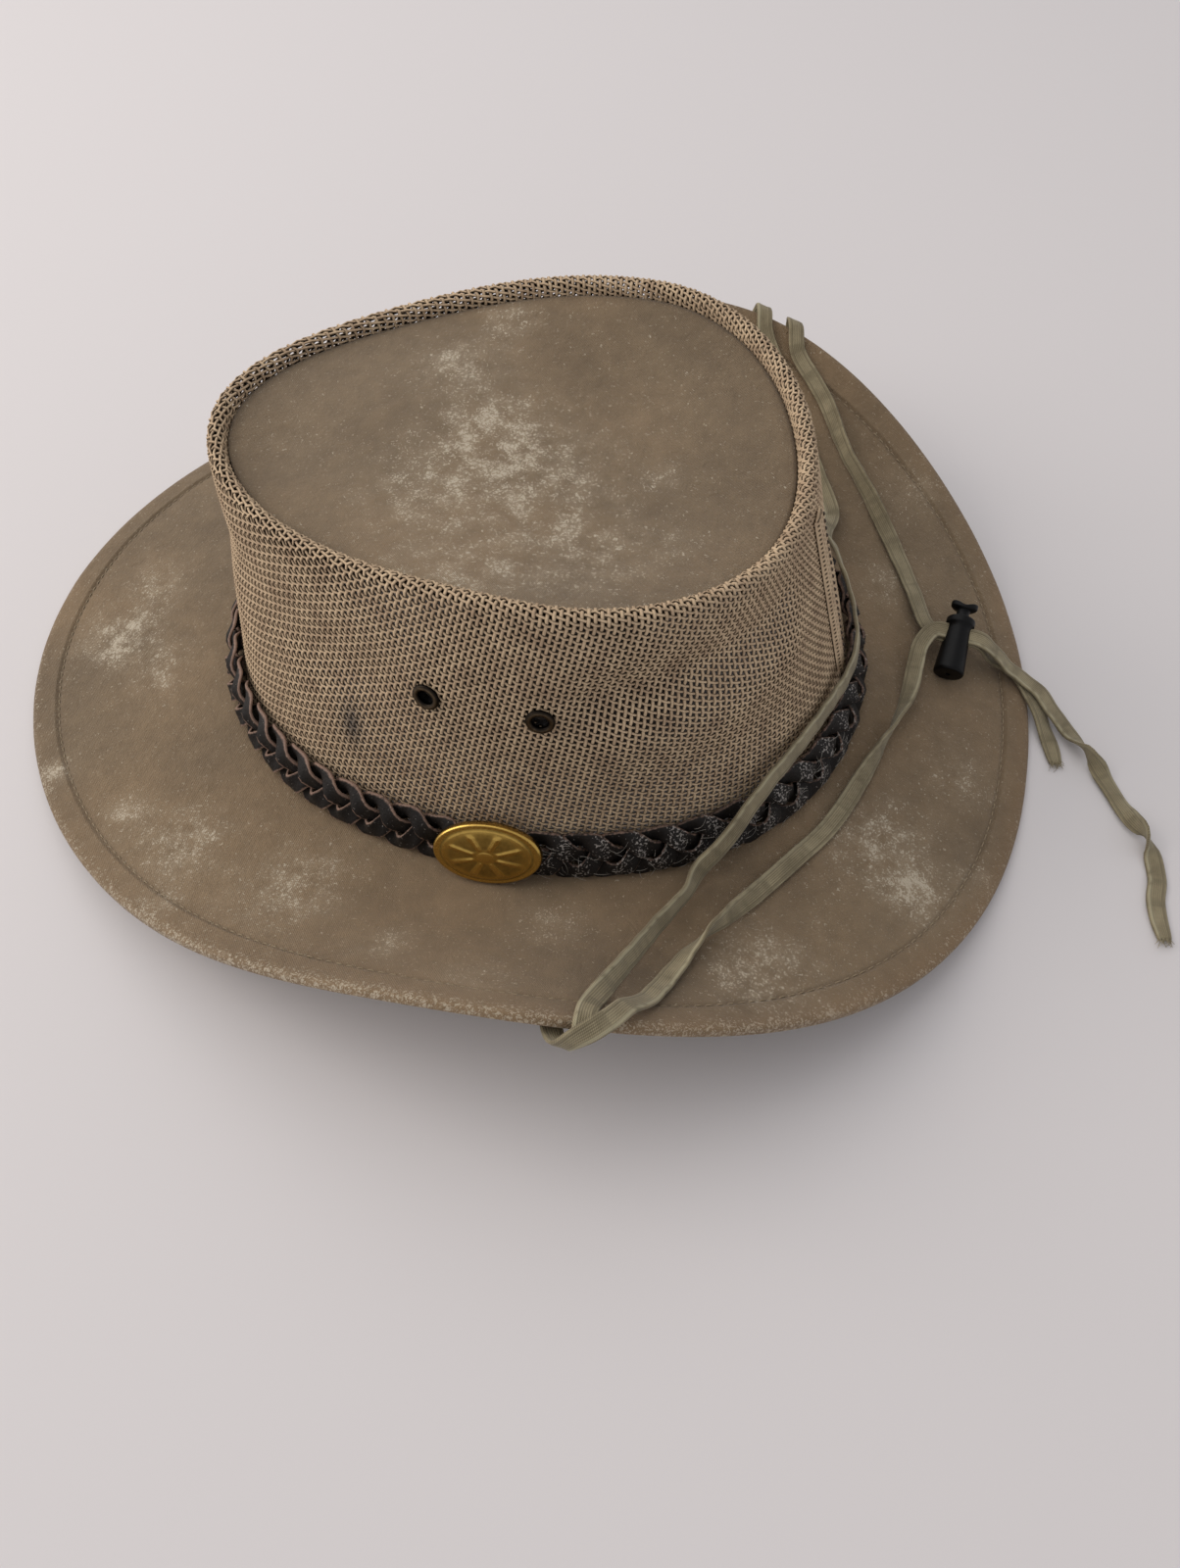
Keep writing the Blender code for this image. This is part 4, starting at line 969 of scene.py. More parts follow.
def oiled_thong():
    """Oiled leather cut in narrow thongs. The grain side is near black with a dull shine and fine
    pores. The cut edges are raw and paler, and the plait's high places are scuffed."""
    finish, tree, shader, lay = new_finish("oiled_thong", {"Roughness": 0.6, "Specular IOR Level": 0.3})
    across = node(tree, "Attribute", {}, "Fac", attribute_name="across")
    ragged = node(tree, "TexNoise", {"Vector": lay, "Scale": 1 / 0.0012, "Detail": 4.0, "Roughness": 0.7})
    shift = node(tree, "Math", {0: ragged, 1: 0.5, 2: across}, operation="MULTIPLY_ADD")
    raw = node(tree, "MapRange", {"Value": shift, "From Min": 1.03, "From Max": 1.2, "To Max": 0.85})
    tone = node(tree, "TexNoise", {"Vector": lay, "Scale": 1 / 0.008, "Detail": 3.0})
    grain = node(tree, "Mix", {0: tone, 6: "#0A0908", 7: "#1E1916"}, 2, data_type="RGBA")
    colour = node(tree, "Mix", {0: raw, 6: grain, 7: "#94796A"}, 2, data_type="RGBA")
    speck = node(tree, "TexNoise", {"Vector": lay, "Scale": 1 / 0.0007, "Detail": 2.0})
    scuffed = node(tree, "Attribute", {}, "Fac", attribute_name="scuffed")
    speck = node(tree, "Math", {0: scuffed, 1: 0.19, 2: speck}, operation="MULTIPLY_ADD")
    speck = node(tree, "MapRange", {"Value": speck, "From Min": 0.7, "From Max": 0.76, "To Max": 0.7})
    colour = node(tree, "Mix", {0: speck, 6: colour, 7: "#A8A29C"}, 2, data_type="RGBA")
    rough = node(tree, "MapRange", {"Value": ragged, "To Min": 0.45, "To Max": 0.8})
    pores = node(tree, "TexVoronoi", {"Vector": lay, "Scale": 1 / 0.0007}, "Distance")
    height = node(tree, "Math", {0: pores, 1: 0.6, 2: ragged}, operation="MULTIPLY_ADD")
    bump = node(tree, "Bump", {"Height": height, "Strength": 0.5, "Distance": 0.0003})
    fill(shader, {"Base Color": colour, "Roughness": rough, "Normal": bump})
    return finish


def stamped_brass():
    """Yellow brass, stamped and then darkened and rubbed back. The high places are bright and softly
    worn, and brown patina stays in the sunk ones."""
    finish, tree, shader, lay = new_finish("stamped_brass", {"Metallic": 1.0, "Roughness": 0.34})
    sunk = node(tree, "Attribute", {}, "Fac", attribute_name="sunk")
    patch = node(tree, "TexNoise", {"Vector": lay, "Scale": 1 / 0.0022, "Detail": 5.0, "Roughness": 0.65})
    patina = node(tree, "Math", {0: patch, 1: 0.7, 2: sunk}, operation="MULTIPLY_ADD")
    patina = node(tree, "MapRange", {"Value": patina, "From Min": 0.42, "From Max": 1.1})
    colour = node(tree, "Mix", {0: patina, 6: "#C9A557", 7: "#5E4A22"}, 2, data_type="RGBA")
    rough = node(tree, "MapRange", {"Value": patina, "To Min": 0.27, "To Max": 0.62})
    bump = node(tree, "Bump", {"Height": patch, "Strength": 0.25, "Distance": 0.0002})
    fill(shader, {"Base Color": colour, "Roughness": rough, "Normal": bump})
    return finish


def blackened_metal():
    """Brass blackened in a bath and lacquered: dark brown-black with a soft shine, and a thin bright
    line where the rim has rubbed."""
    finish, tree, shader, lay = new_finish("blackened_metal", {"Metallic": 1.0, "Roughness": 0.38})
    worn = node(tree, "Attribute", {}, "Fac", attribute_name="worn")
    patch = node(tree, "TexNoise", {"Vector": lay, "Scale": 1 / 0.0012, "Detail": 3.0})
    worn = node(tree, "Math", {0: worn, 1: patch}, operation="MULTIPLY")
    colour = node(tree, "Mix", {0: worn, 6: "#191614", 7: "#7A6A55"}, 2, data_type="RGBA")
    bump = node(tree, "Bump", {"Height": patch, "Strength": 0.15, "Distance": 0.0001})
    fill(shader, {"Base Color": colour, "Normal": bump})
    return finish


def woven_cotton_tape():
    """Quarter-inch cotton tape, dyed olive drab and woven in a fine twill, with a corded edge. It is
    dry and matt, faded along its high places, with dust-pale stitches along one edge."""
    finish, tree, shader, lay = new_finish(
        "woven_cotton_tape", {"Roughness": 0.86, "Specular IOR Level": 0.25, "Sheen Weight": 0.15}
    )
    along = node(tree, "Attribute", {}, "Fac", attribute_name="along")
    across = node(tree, "Attribute", {}, "Fac", attribute_name="across")
    # Twill lines stand .55 mm apart, a little coarser than the real tape's.
    pace = 2 * math.pi / 0.00055
    slant = node(tree, "Math", {0: across, 1: TAPE_WIDTH / 2 * pace * 0.8}, operation="MULTIPLY")
    phase = node(tree, "Math", {0: along, 1: pace, 2: slant}, operation="MULTIPLY_ADD")
    twill = node(tree, "Math", {0: phase}, operation="SINE")
    cords = node(tree, "Math", {0: across, 1: math.pi * 9}, operation="MULTIPLY")
    cords = node(tree, "Math", {0: cords}, operation="COSINE")
    fade = node(tree, "TexNoise", {"Vector": lay, "Scale": 1 / 0.009, "Detail": 4.0, "Roughness": 0.6})
    tone = node(tree, "Math", {0: twill, 1: 0.16, 2: fade}, operation="MULTIPLY_ADD")
    tone = node(tree, "Math", {0: cords, 1: 0.12, 2: tone}, operation="MULTIPLY_ADD")
    tone = node(tree, "MapRange", {"Value": tone, "From Min": 0.25, "From Max": 0.75})
    colour = node(tree, "Mix", {0: tone, 6: "#6C624C", 7: "#9F9477"}, 2, data_type="RGBA")
    # Shade is painted dark across it where it has been bent and creased, and along the inner side of its
    # edge cord.
    sockets = {"W": along, "Scale": 1 / 0.006, "Detail": 2.0}
    crease = node(tree, "TexNoise", sockets, noise_dimensions="1D")
    crease = node(tree, "MapRange", {"Value": crease, "From Min": 0.54, "From Max": 0.7, "To Max": 0.3})
    side = node(tree, "Math", {0: across}, operation="ABSOLUTE")
    side = node(tree, "Math", {0: side, 1: 0.62, 2: 0.1}, operation="COMPARE")
    side = node(tree, "Math", {0: side, 1: fade}, operation="MULTIPLY")
    side = node(tree, "Math", {0: side, 1: 0.7}, operation="MULTIPLY")
    dark = node(tree, "Math", {0: crease, 1: side}, operation="MAXIMUM")
    colour = node(tree, "Mix", {0: dark, 6: colour, 7: "#4A412F"}, 2, data_type="RGBA")
    stitched = node(tree, "Attribute", {}, "Fac", attribute_name="stitched")
    colour = node(tree, "Mix", {0: stitched, 6: colour, 7: "#BDB597"}, 2, data_type="RGBA")
    fuzz = node(tree, "TexNoise", {"Vector": lay, "Scale": 1 / 0.0005, "Detail": 2.0})
    height = node(tree, "Math", {0: twill, 1: 0.25, 2: fuzz}, operation="MULTIPLY_ADD")
    height = node(tree, "Math", {0: cords, 1: 0.4, 2: height}, operation="MULTIPLY_ADD")
    bump = node(tree, "Bump", {"Height": height, "Strength": 0.5, "Distance": 0.00025})
    fill(shader, {"Base Color": colour, "Normal": bump})
    return finish


def moulded_acetal():
    """Black acetal, injection moulded: near black, with a soft shine broken by fine handling marks."""
    finish, tree, shader, lay = new_finish(
        "moulded_acetal", {"Base Color": "#040405", "IOR": 1.48, "Specular IOR Level": 0.2}
    )
    marks = node(tree, "TexNoise", {"Vector": lay, "Scale": 1 / 0.002, "Detail": 5.0})
    rough = node(tree, "MapRange", {"Value": marks, "To Min": 0.28, "To Max": 0.52})
    bump = node(tree, "Bump", {"Height": marks, "Strength": 0.08, "Distance": 0.0002})
    fill(shader, {"Roughness": rough, "Normal": bump})
    return finish


def waxed_thread(name, dark, light):
    """Waxed sewing thread, twisted, with shade painted darker between its turns, and a slight shine."""
    finish, tree, shader, lay = new_finish(name, {"Roughness": 0.6})
    twist = node(tree, "TexNoise", {"Vector": lay, "Scale": 1 / 0.0008, "Detail": 2.0})
    colour = node(tree, "Mix", {0: twist, 6: dark, 7: light}, 2, data_type="RGBA")
    bump = node(tree, "Bump", {"Height": twist, "Strength": 0.4, "Distance": 0.0002})
    fill(shader, {"Base Color": colour, "Normal": bump})
    return finish


# Chin strap. A route's rows are a place, the way that the tape's face looks there, and its roll.


def on_brim(turn, share, face, lift, roll):
    """A row lying on the brim, under it or round its edge."""
    turn, face, roll = math.radians(turn), math.radians(face), math.radians(roll)
    normal = brim_normal(turn, min(share, BRIM_LAST_SHARE))
    here = brim_middle(turn, share)
    out = unit(here - brim_middle(turn, share - 0.01))
    look = normal * math.cos(face) + out * math.sin(face)
    on_hem = (1 - share) * brim_width(turn) < HEM_WIDTH + 2 * HEM_GROOVE_WIDTH
    away = (HEM_THICKNESS if on_hem else BRIM_THICKNESS) / 2 + TAPE_CLEARANCE + lift / 1000
    away += (TAPE_THICKNESS * abs(math.cos(roll)) + TAPE_WIDTH * abs(math.sin(roll))) / 2
    return (*(here + look * away), *look, roll)


def under_brim(length):
    """Rows of a length that lies straight under the brim, from its tab outward."""
    return [on_brim(STRAP_UNDER_TURNS[length], share, 180, 0, 0) for share in STRAP_UNDER_SHARES]


def on_wall(turn, up_wall, out_wall, face):
    """A row by the crown's wall."""
    turn, face = math.radians(turn), math.radians(face)
    _, up, out = wall_axes(turn, BAND_FRAME_SHARE)
    point = crown_foot(turn) + (up * up_wall + out * out_wall) / 1000
    return (*point, *(up * math.cos(face) + out * math.sin(face)), 0)


def off_brim(x, y, z, face, towards):
    """A row beyond the brim."""
    face, towards = math.radians(face), math.radians(towards)
    side = np.array((math.sin(towards), math.cos(towards), 0))
    return (x / 1000, y / 1000, z / 1000, *(UP * math.cos(face) + side * math.sin(face)), 0)


def lock_place():
    """The lock's frame: Z along its axis to the plunger, X back along the tapes that run through."""
    tilt, turn = math.radians(LOCK_TILT), math.radians(LOCK_TURN)
    axis = np.array(
        (math.sin(turn) * math.cos(tilt), math.cos(turn) * math.cos(tilt), math.sin(tilt))
    )
    back = np.array((-math.cos(turn), math.sin(turn), 0))
    return placed(LOCK_FOOT, back, np.cross(axis, back), axis)


def in_lock(layer):
    """Rows of a straight run through the lock, in the upper layer (1) or the lower one (-1)."""
    place = lock_place()
    height = layer * (TAPE_THICKNESS / 2 + GAP)
    spots = [(x * LOCK_STRAIGHT_RUN, height, LOCK_SLOT_CENTRE) for x in (1, 0, -1)]
    return [(*point, *place[:3, 1], 0) for point in carried(place, spots)]


def laid(way, table):
    """The rows of a table, laid in one of these ways."""
    return [way(*row) for row in table]


def smooth_route(rows, step):
    """The rows of a smooth curve through these, about a step apart."""
    rows = np.array(rows, float)
    pulls = (np.vstack([rows[1:], rows[-1:]]) - np.vstack([rows[:1], rows[:-1]])) / 2
    route = []
    for a, b, pull_a, pull_b in zip(rows, rows[1:], pulls, pulls[1:]):
        pieces = max(round(np.linalg.norm((b - a)[:3]) / step), 1)
        t = np.arange(pieces)[:, None] / pieces
        route.append(
            a * (2 * t**3 - 3 * t**2 + 1)
            + pull_a * (t**3 - 2 * t**2 + t)
            + b * (3 * t**2 - 2 * t**3)
            + pull_b * (t**3 - t**2)
        )
    return np.vstack([*route, rows[-1:]])


def along_path(path):
    """How far each point of a path is from its start."""
    return np.concatenate([[0], np.cumsum(np.linalg.norm(np.diff(path, axis=0), axis=1))])


def tape_axes(route):
    """The way that a tape runs, its side and its face, at each row of its route."""
    point, look, roll = route[:, :3], route[:, 3:6], route[:, 6]
    run = unit(np.vstack([point[1:], point[-1:]]) - np.vstack([point[:1], point[:-1]]))
    face = unit(look - times(run, np.sum(look * run, axis=1)))
    face = times(face, np.cos(roll)) + times(np.cross(run, face), np.sin(roll))
    return run, np.cross(run, face), face


def tape_piece(name, route, width, thickness, finish, stitched_edge=0, frayed=False):
    """A flat tape along a route, soft-edged, with a ridge of stitches by one edge if it has one. A
    frayed one draws in towards its far end."""
    point = route[:, :3]
    _, side, face = tape_axes(route)
    across = np.sin(np.linspace(-math.pi / 2, math.pi / 2, TAPE_COLUMNS))
    half = thickness / 2 * (1 - TAPE_EDGE_THINNED * np.abs(across) ** 7)
    ridge = fading(across - TAPE_RIDGE_AT * stitched_edge, TAPE_RIDGE_REACH) * abs(stitched_edge)
    across = np.concatenate([across, across[::-1]])
    height = np.concatenate([half + TAPE_RIDGE * ridge, -half[::-1]])
    distance = along_path(point)
    ruck = TAPE_RUCK * np.sin(distance * 2 * math.pi / TAPE_RUCK_PITCH + 1.7 * np.sin(distance * 60))
    height = height[None, :] * np.ones((len(point), 1)) + ruck[:, None]
    near_end = np.exp((distance - distance[-1]) / TAPE_DRAWN_REACH)[:, None]
    narrow = 1 - TAPE_DRAWN_IN * frayed * near_end
    points = (
        point[:, None, :]
        + side[:, None, :] * (across * width / 2 * narrow)[..., None]
        + face[:, None, :] * height[..., None]
    )
    size = (1, len(point), len(across))
    piece = piece_of(name, points, tube_quads(*size), finish, tube_caps(*size))
    mark(piece, "along", np.repeat(distance, len(across)))
    mark(piece, "across", np.tile(across, len(point)))
    stitches = np.abs(np.sin(distance * math.pi / TAPE_STITCH_PITCH)) > 0.25
    stitched = np.concatenate([ridge, ridge[::-1] * 0.5])[None, :] * (0.3 + 0.7 * stitches[:, None])
    mark(piece, "stitched", stitched * 0.75)
    return piece


def make_fray(name, route, finish):
    """The threads that come loose at a tape's cut end."""
    rng = np.random.default_rng(len(route))
    run, side, face = (axis[-1] for axis in tape_axes(route))
    ends = rng.uniform(-LOOSE_SPREAD, LOOSE_SPREAD, LOOSE_THREADS)[:, None] * side
    stray = rng.normal(0, LOOSE_STRAY, (LOOSE_THREADS, 1)) * face
    start = route[-1, :3] - run * LOOSE_ROOTS + ends * TAPE_SEEN_WIDTH + stray * TAPE_THICKNESS
    start[:, 2] = np.maximum(start[:, 2], LOOSE_ROOT_LOWEST)
    fan = unit(run + ends * LOOSE_FAN + stray)
    axes = [np.broadcast_to(v, start.shape) for v in (side, face)]
    length = rng.uniform(*LOOSE_LENGTHS, LOOSE_THREADS)
    points, quads = hairs_from(start, fan, *axes, length, LOOSE_RADIUS, rng)
    points[:, 2] = np.maximum(points[:, 2], LOOSE_LOWEST)
    return wear(piece_of(name, points, quads, finish), "cotton_tape")


def make_strap(name, rows, finish, stitched_edge, far_end, with_pieces=()):
    """One length of the chin strap, a free limp tape."""
    route = smooth_route(rows, TAPE_FINE_STEP)
    frayed = far_end == "bare"
    section = (TAPE_SEEN_WIDTH, TAPE_THICKNESS)
    piece = tape_piece(name + "_tape", route, *section, finish, stitched_edge, frayed)
    if frayed:
        with_pieces = [*with_pieces, make_fray(name + "_fray", route, finish)]
    wear(piece, "cotton_tape", name)


def make_straps(tape, lock_pieces):
    """The whole loop: two lengths that meet in the lock, and one round the back of the crown."""
    left = under_brim("left") + laid(on_brim, LEFT_STRAP_TO_LOCK) + in_lock(1)
    left += laid(on_brim, LEFT_TAIL_ON_BRIM) + laid(off_brim, LEFT_TAIL)
    right = under_brim("right") + laid(on_brim, RIGHT_STRAP_TO_LOCK) + in_lock(-1)
    right += laid(on_brim, RIGHT_TAIL_ON_BRIM) + laid(off_brim, RIGHT_TAIL)
    rear = under_brim("rear_near") + laid(on_brim, REAR_STRAP_NEAR_SIDE)
    rear += laid(on_wall, REAR_STRAP_BEHIND_CROWN)
    rear += laid(on_brim, REAR_STRAP_FAR_SIDE) + under_brim("rear_far")[::-1]
    make_strap("strap_left", left, tape, 1, "bare", lock_pieces)
    make_strap("strap_right", right, tape, 0, "bare")
    make_strap("strap_rear", rear, tape, -1, "object")


def make_tab(side, turn, tape):
    """A tab of the same tape, sewn across the two lengths under the brim."""
    turn = math.radians(turn)
    radius = np.linalg.norm((brim_middle(turn, TAB_SHARE) - spot(0, WIDEST_Y, 0))[:2])
    under = BRIM_THICKNESS / 2
    seat = under + GAP + TAB_THICKNESS / 2
    clear = under + GAP + TAPE_THICKNESS + GAP * 2 + TAB_THICKNESS / 2
    leg = (TAPE_SPACING + TAPE_WIDTH) / 2 + 2 * GAP + TAB_LEG_ROOM
    foot = leg + TAB_BEND + TAB_FOOT
    along = np.linspace(-foot, foot, TAB_STATIONS)
    rise = np.clip((np.abs(along) - leg) / TAB_BEND, 0, 1)
    depth = clear + (seat - clear) * rise * rise * (3 - 2 * rise)
    here = turn + along / radius
    normal = brim_normal(here, TAB_SHARE)
    points = brim_middle(here, TAB_SHARE) - times(normal, depth)
    route = np.hstack([points, -normal, np.zeros((len(along), 1))])
    piece = tape_piece("tab_" + side, route, TAB_WIDTH, TAB_THICKNESS, tape)
    wear(piece, "cotton_tape", "strap_tab_" + side)


# Canvas.


def brim_thickness(from_edge):
    """How thick the brim is this far in from its edge: rounded hem, stitched groove, two layers."""
    round_in = HEM_ROUNDED_SHARE * HEM_THICKNESS
    rounded = np.sqrt(np.clip(1 - (1 - np.clip(from_edge / round_in, 0, 1)) ** 2, 0, 1))
    hem = HEM_THICKNESS * (HEM_EDGE_SHARE + (1 - HEM_EDGE_SHARE) * rounded)
    inside = from_edge > HEM_WIDTH - HEM_SHOULDER / 2
    step = 1 / (1 + np.exp((from_edge - HEM_WIDTH + HEM_SHOULDER / 2) / (HEM_SHOULDER / 8)))
    thick = np.where(inside, BRIM_THICKNESS, hem) * (1 - step) + hem * step
    return thick - HEM_GROOVE * fading(from_edge - HEM_WIDTH, HEM_GROOVE_WIDTH / 2)


def rubbed_at(points, patches, surface):
    """How rubbed the canvas is at these points, from its patches on a surface of turn and share."""
    total = np.zeros(points.shape[:-1])
    for turn, share, reach, strength in patches:
        away = np.linalg.norm(points - surface(math.radians(turn), share), axis=-1)
        total = total + strength * fading(away * 1000, 1.25 * reach)
    return total


def make_brim(canvas):
    """The brim, with its turned and stitched hem and the soft waves of handled canvas."""
    turn = all_round(BRIM_TURNS)
    width = brim_width(turn)
    inner = -WALL_THICKNESS / width
    hem = np.linspace(HEM_FINE, EDGE_FINE, HEM_RINGS, endpoint=False)
    edge = EDGE_FINE * np.linspace(1, 0, EDGE_RINGS) ** 1.6
    fine = np.concatenate([hem, edge])
    start = 1 - HEM_FINE / width
    plain = inner + (start - inner) * np.linspace(0, 1, BRIM_RINGS, endpoint=False)[None, :]
    share = np.hstack([plain, 1 - fine[None, :] / width])
    from_edge = (1 - share) * width
    middle = brim_middle(turn, share)
    normal = brim_normal(turn, np.minimum(share, BRIM_LAST_SHARE))
    calm = np.clip(share / SWAY_CALM_AT_FOOT, 0, 1) * np.clip(from_edge / SWAY_CALM_AT_EDGE, 0, 1)
    sway = ripple(middle, *BRIM_SWAY) * calm + ripple(middle, *BRIM_RIPPLE)
    half = brim_thickness(from_edge) / 2
    upper = middle + times(normal, half + sway)
    under = middle - times(normal, half)
    under[..., 2] = np.maximum(under[..., 2], 0)
    points = both_faces(upper, under)
    piece = piece_of("canvas_brim", points, grid_quads(*points.shape[:2], True, True), canvas)
    rubbed = BRIM_RUBBED * rubbed_at(middle, RUBBED_BRIM, brim_middle)
    mark(piece, "rubbed", both_faces(rubbed, rubbed * 0.6))
    most_worn = 0.25 + np.clip(np.cos(turn - math.radians(FRAYED_TURN)), 0, 1) ** 0.6
    frayed = fading(from_edge, FRAYED_REACH) * most_worn
    mark(piece, "frayed", both_faces(frayed, frayed))
    tan = np.clip(np.cos(turn - math.radians(RIM_TAN_TURN)), 0.25, 1)
    rim = fading(from_edge, RIM_TAN_REACH) * tan
    mark(piece, "rim", both_faces(rim, rim))
    # Shade painted darker into the stitched groove.
    groove = fading(from_edge - HEM_WIDTH, HEM_GROOVE_WIDTH / 1.6)
    mark(piece, "sunk", both_faces(groove, groove))
    return wear(piece, "waxed_canvas", "brim")


def stitches_on(name, path, look, stitch, finish, slot):
    """A row of stitches along a path: each a short thread that dips at both ends."""
    length, space, radius = stitch
    distance = along_path(path)
    count = int(distance[-1] / (length + space))
    pitch = distance[-1] / count
    t = np.linspace(-1, 1, STITCH_STATIONS)
    at = (np.arange(count)[:, None] + 0.5 + t[None, :] * 0.5 * length / (length + space)) * pitch
    here = np.stack([np.interp(at, distance, path[:, k]) for k in range(3)], axis=-1)
    out = unit(np.stack([np.interp(at, distance, look[:, k]) for k in range(3)], axis=-1))
    proud = radius * (STITCH_PROUD - STITCH_DIP * t[None, :] ** 4)
    here = here + times(out, proud * np.ones((count, 1)))
    run = unit(np.gradient(here, axis=1))
    side = np.cross(run, out)
    thick = radius * (1 - STITCH_THINNED * t**4)[None, :, None, None]
    angle = all_round(STITCH_SIDES)
    ring = side[..., None, :] * np.cos(angle) + out[..., None, :] * np.sin(angle)
    points = here[..., None, :] + ring * thick
    size = (count, STITCH_STATIONS, STITCH_SIDES)
    return wear(piece_of(name, points, tube_quads(*size), finish, tube_caps(*size)), slot)


def make_hem_stitches(thread):
    """The line of stitches in the hem's groove, above and below."""
    turn = np.linspace(0, 2 * math.pi, HEM_PATH_POINTS)
    share = 1 - HEM_WIDTH / brim_width(turn)
    middle, normal = brim_middle(turn, share), brim_normal(turn, share)
    half = brim_thickness(np.array(HEM_WIDTH)) / 2
    for face, look in (("upper", normal), ("under", -normal)):
        path = middle + look * half
        stitches_on("hem_stitches_" + face, path, look, HEM_STITCH, thread, "waxed_canvas")


def make_tip(canvas):
    """The tip, a panel of the same canvas sunk inside the roll, soft and a little hollow."""
    turn = all_round(TIP_TURNS)
    share = np.linspace(0, 1, TIP_RINGS)[None, 1:]
    place = tip_place(turn, share)
    height = tip_height(turn, share)
    points = spot(place[..., 0], place[..., 1], height)
    calm = 1 - share**6
    sway = ripple(points, *TIP_SWAY) + ripple(points, *TIP_RIPPLE)
    points[..., 2] += sway * calm
    lower = points - UP * TIP_THICKNESS
    both = np.concatenate([points[:, ::-1], lower], axis=1)
    rings = both.shape[1]
    quads = grid_quads(TIP_TURNS, rings, True, False)
    # The innermost rings are closed by a cap each, not by quads between them.
    quads = quads[quads[:, 0] % rings != TIP_RINGS - 2]
    above = np.arange(TIP_TURNS) * rings
    below = above + rings - 1
    skirt = np.stack([above, np.roll(above, -1), np.roll(below, -1), below], axis=1)
    caps = (above + TIP_RINGS - 2, above + TIP_RINGS - 1)
    piece = piece_of("canvas_tip", both, np.vstack([quads, skirt]), canvas, caps)
    # Shade painted darker round the tip's edge, where it sinks inside the roll.
    edge = np.clip((share - (1 - TIP_DARK_RING)) / TIP_DARK_RING, 0, 1)
    edge = np.broadcast_to(edge, height.shape)
    mark(piece, "sunk", np.concatenate([edge[:, ::-1], edge], axis=1) * TIP_DARK)
    rubbed = rubbed_at(points, RUBBED_TIP, lambda *at: spot(*tip_place(*at), tip_height(*at)))
    mark(piece, "rubbed", np.concatenate([rubbed[:, ::-1], rubbed], axis=1))
    return wear(piece, "waxed_canvas", "crown_tip")


# Woven crown.


def mesh_sheet(turn, row):
    """The middle of the mesh, this many weft rows up from its foot, and the way it faces."""
    turn, row = np.broadcast_arrays(turn, row)
    share = np.clip(row / WEFT_ROWS, 0, 1)
    _, _, out = wall_axes(turn, np.clip(share, 0.01, 0.99))
    away = spot(np.sin(turn), np.cos(turn), 0)
    ease = np.clip((row - WEFT_ROWS + ROLL_EASE_ROWS) / ROLL_EASE_ROWS, 0, 1)
    out = unit(times(out, 1 - ease) + times(away, ease))
    middle = wall_face(turn, share) - out * WALL_THICKNESS / 2 + times(UP, 2 * GAP * (1 - share))
    radius = ROLL_RADIUS - WALL_THICKNESS / 2
    past = np.maximum(row - WEFT_ROWS, 0) * ROLL_ROW_PITCH
    angle = np.minimum(past / radius, math.pi)
    looks = times(away, np.cos(angle)) + times(UP, np.sin(angle))
    rolled = rim_line(turn, ROLL_OFFSET) + UP * ROLL_OFFSET + looks * radius
    rolled = rolled - times(UP, np.maximum(past - math.pi * radius, 0))
    on_roll = (row > WEFT_ROWS)[..., None]
    return np.where(on_roll, rolled, middle), np.where(on_roll, looks, out)


def yarn_piece(name, middle, out, width, thickness, dyed, finish):
    """Yarns side by side, each a row of points with the way that the mesh faces there."""
    yarns, stations = middle.shape[:2]
    run = unit(np.gradient(middle, axis=1))
    side = unit(np.cross(run, out))
    face = np.cross(side, run)
    corners = [middle + side * (a * width / 2) + face * (b * thickness / 2) for a, b, _ in YARN_SECTION]
    flat = np.stack(corners, axis=2).reshape(-1, 3)
    size = (yarns, stations, len(YARN_SECTION))
    quads = tube_quads(*size)
    centres = flat[quads].mean(axis=1)
    keep = np.ones(len(quads), bool)
    for turn in EYELET_TURNS.values():
        centre = wall_face(math.radians(turn), EYELET_HEIGHT_SHARE)
        keep &= np.linalg.norm(centres - centre, axis=1) > EYELET_HOLE_RADIUS + YARN_CUT_BACK
    piece = piece_of(name, flat, quads[keep], finish, tube_caps(*size))
    mark(piece, "dyed", np.repeat(dyed, stations * len(YARN_SECTION)))
    smudge_at = wall_face(math.radians(SMUDGE_TURN), SMUDGE_SHARE)
    away = np.linalg.norm((flat - smudge_at) / SMUDGE_REACH, axis=1)
    mark(piece, "smudge", SMUDGE_STRENGTH * fading(away, 1))
    # Painted shade on each yarn's sides and inner face.
    mark(piece, "inner", np.tile([inner for _, _, inner in YARN_SECTION], yarns * stations))
    return piece


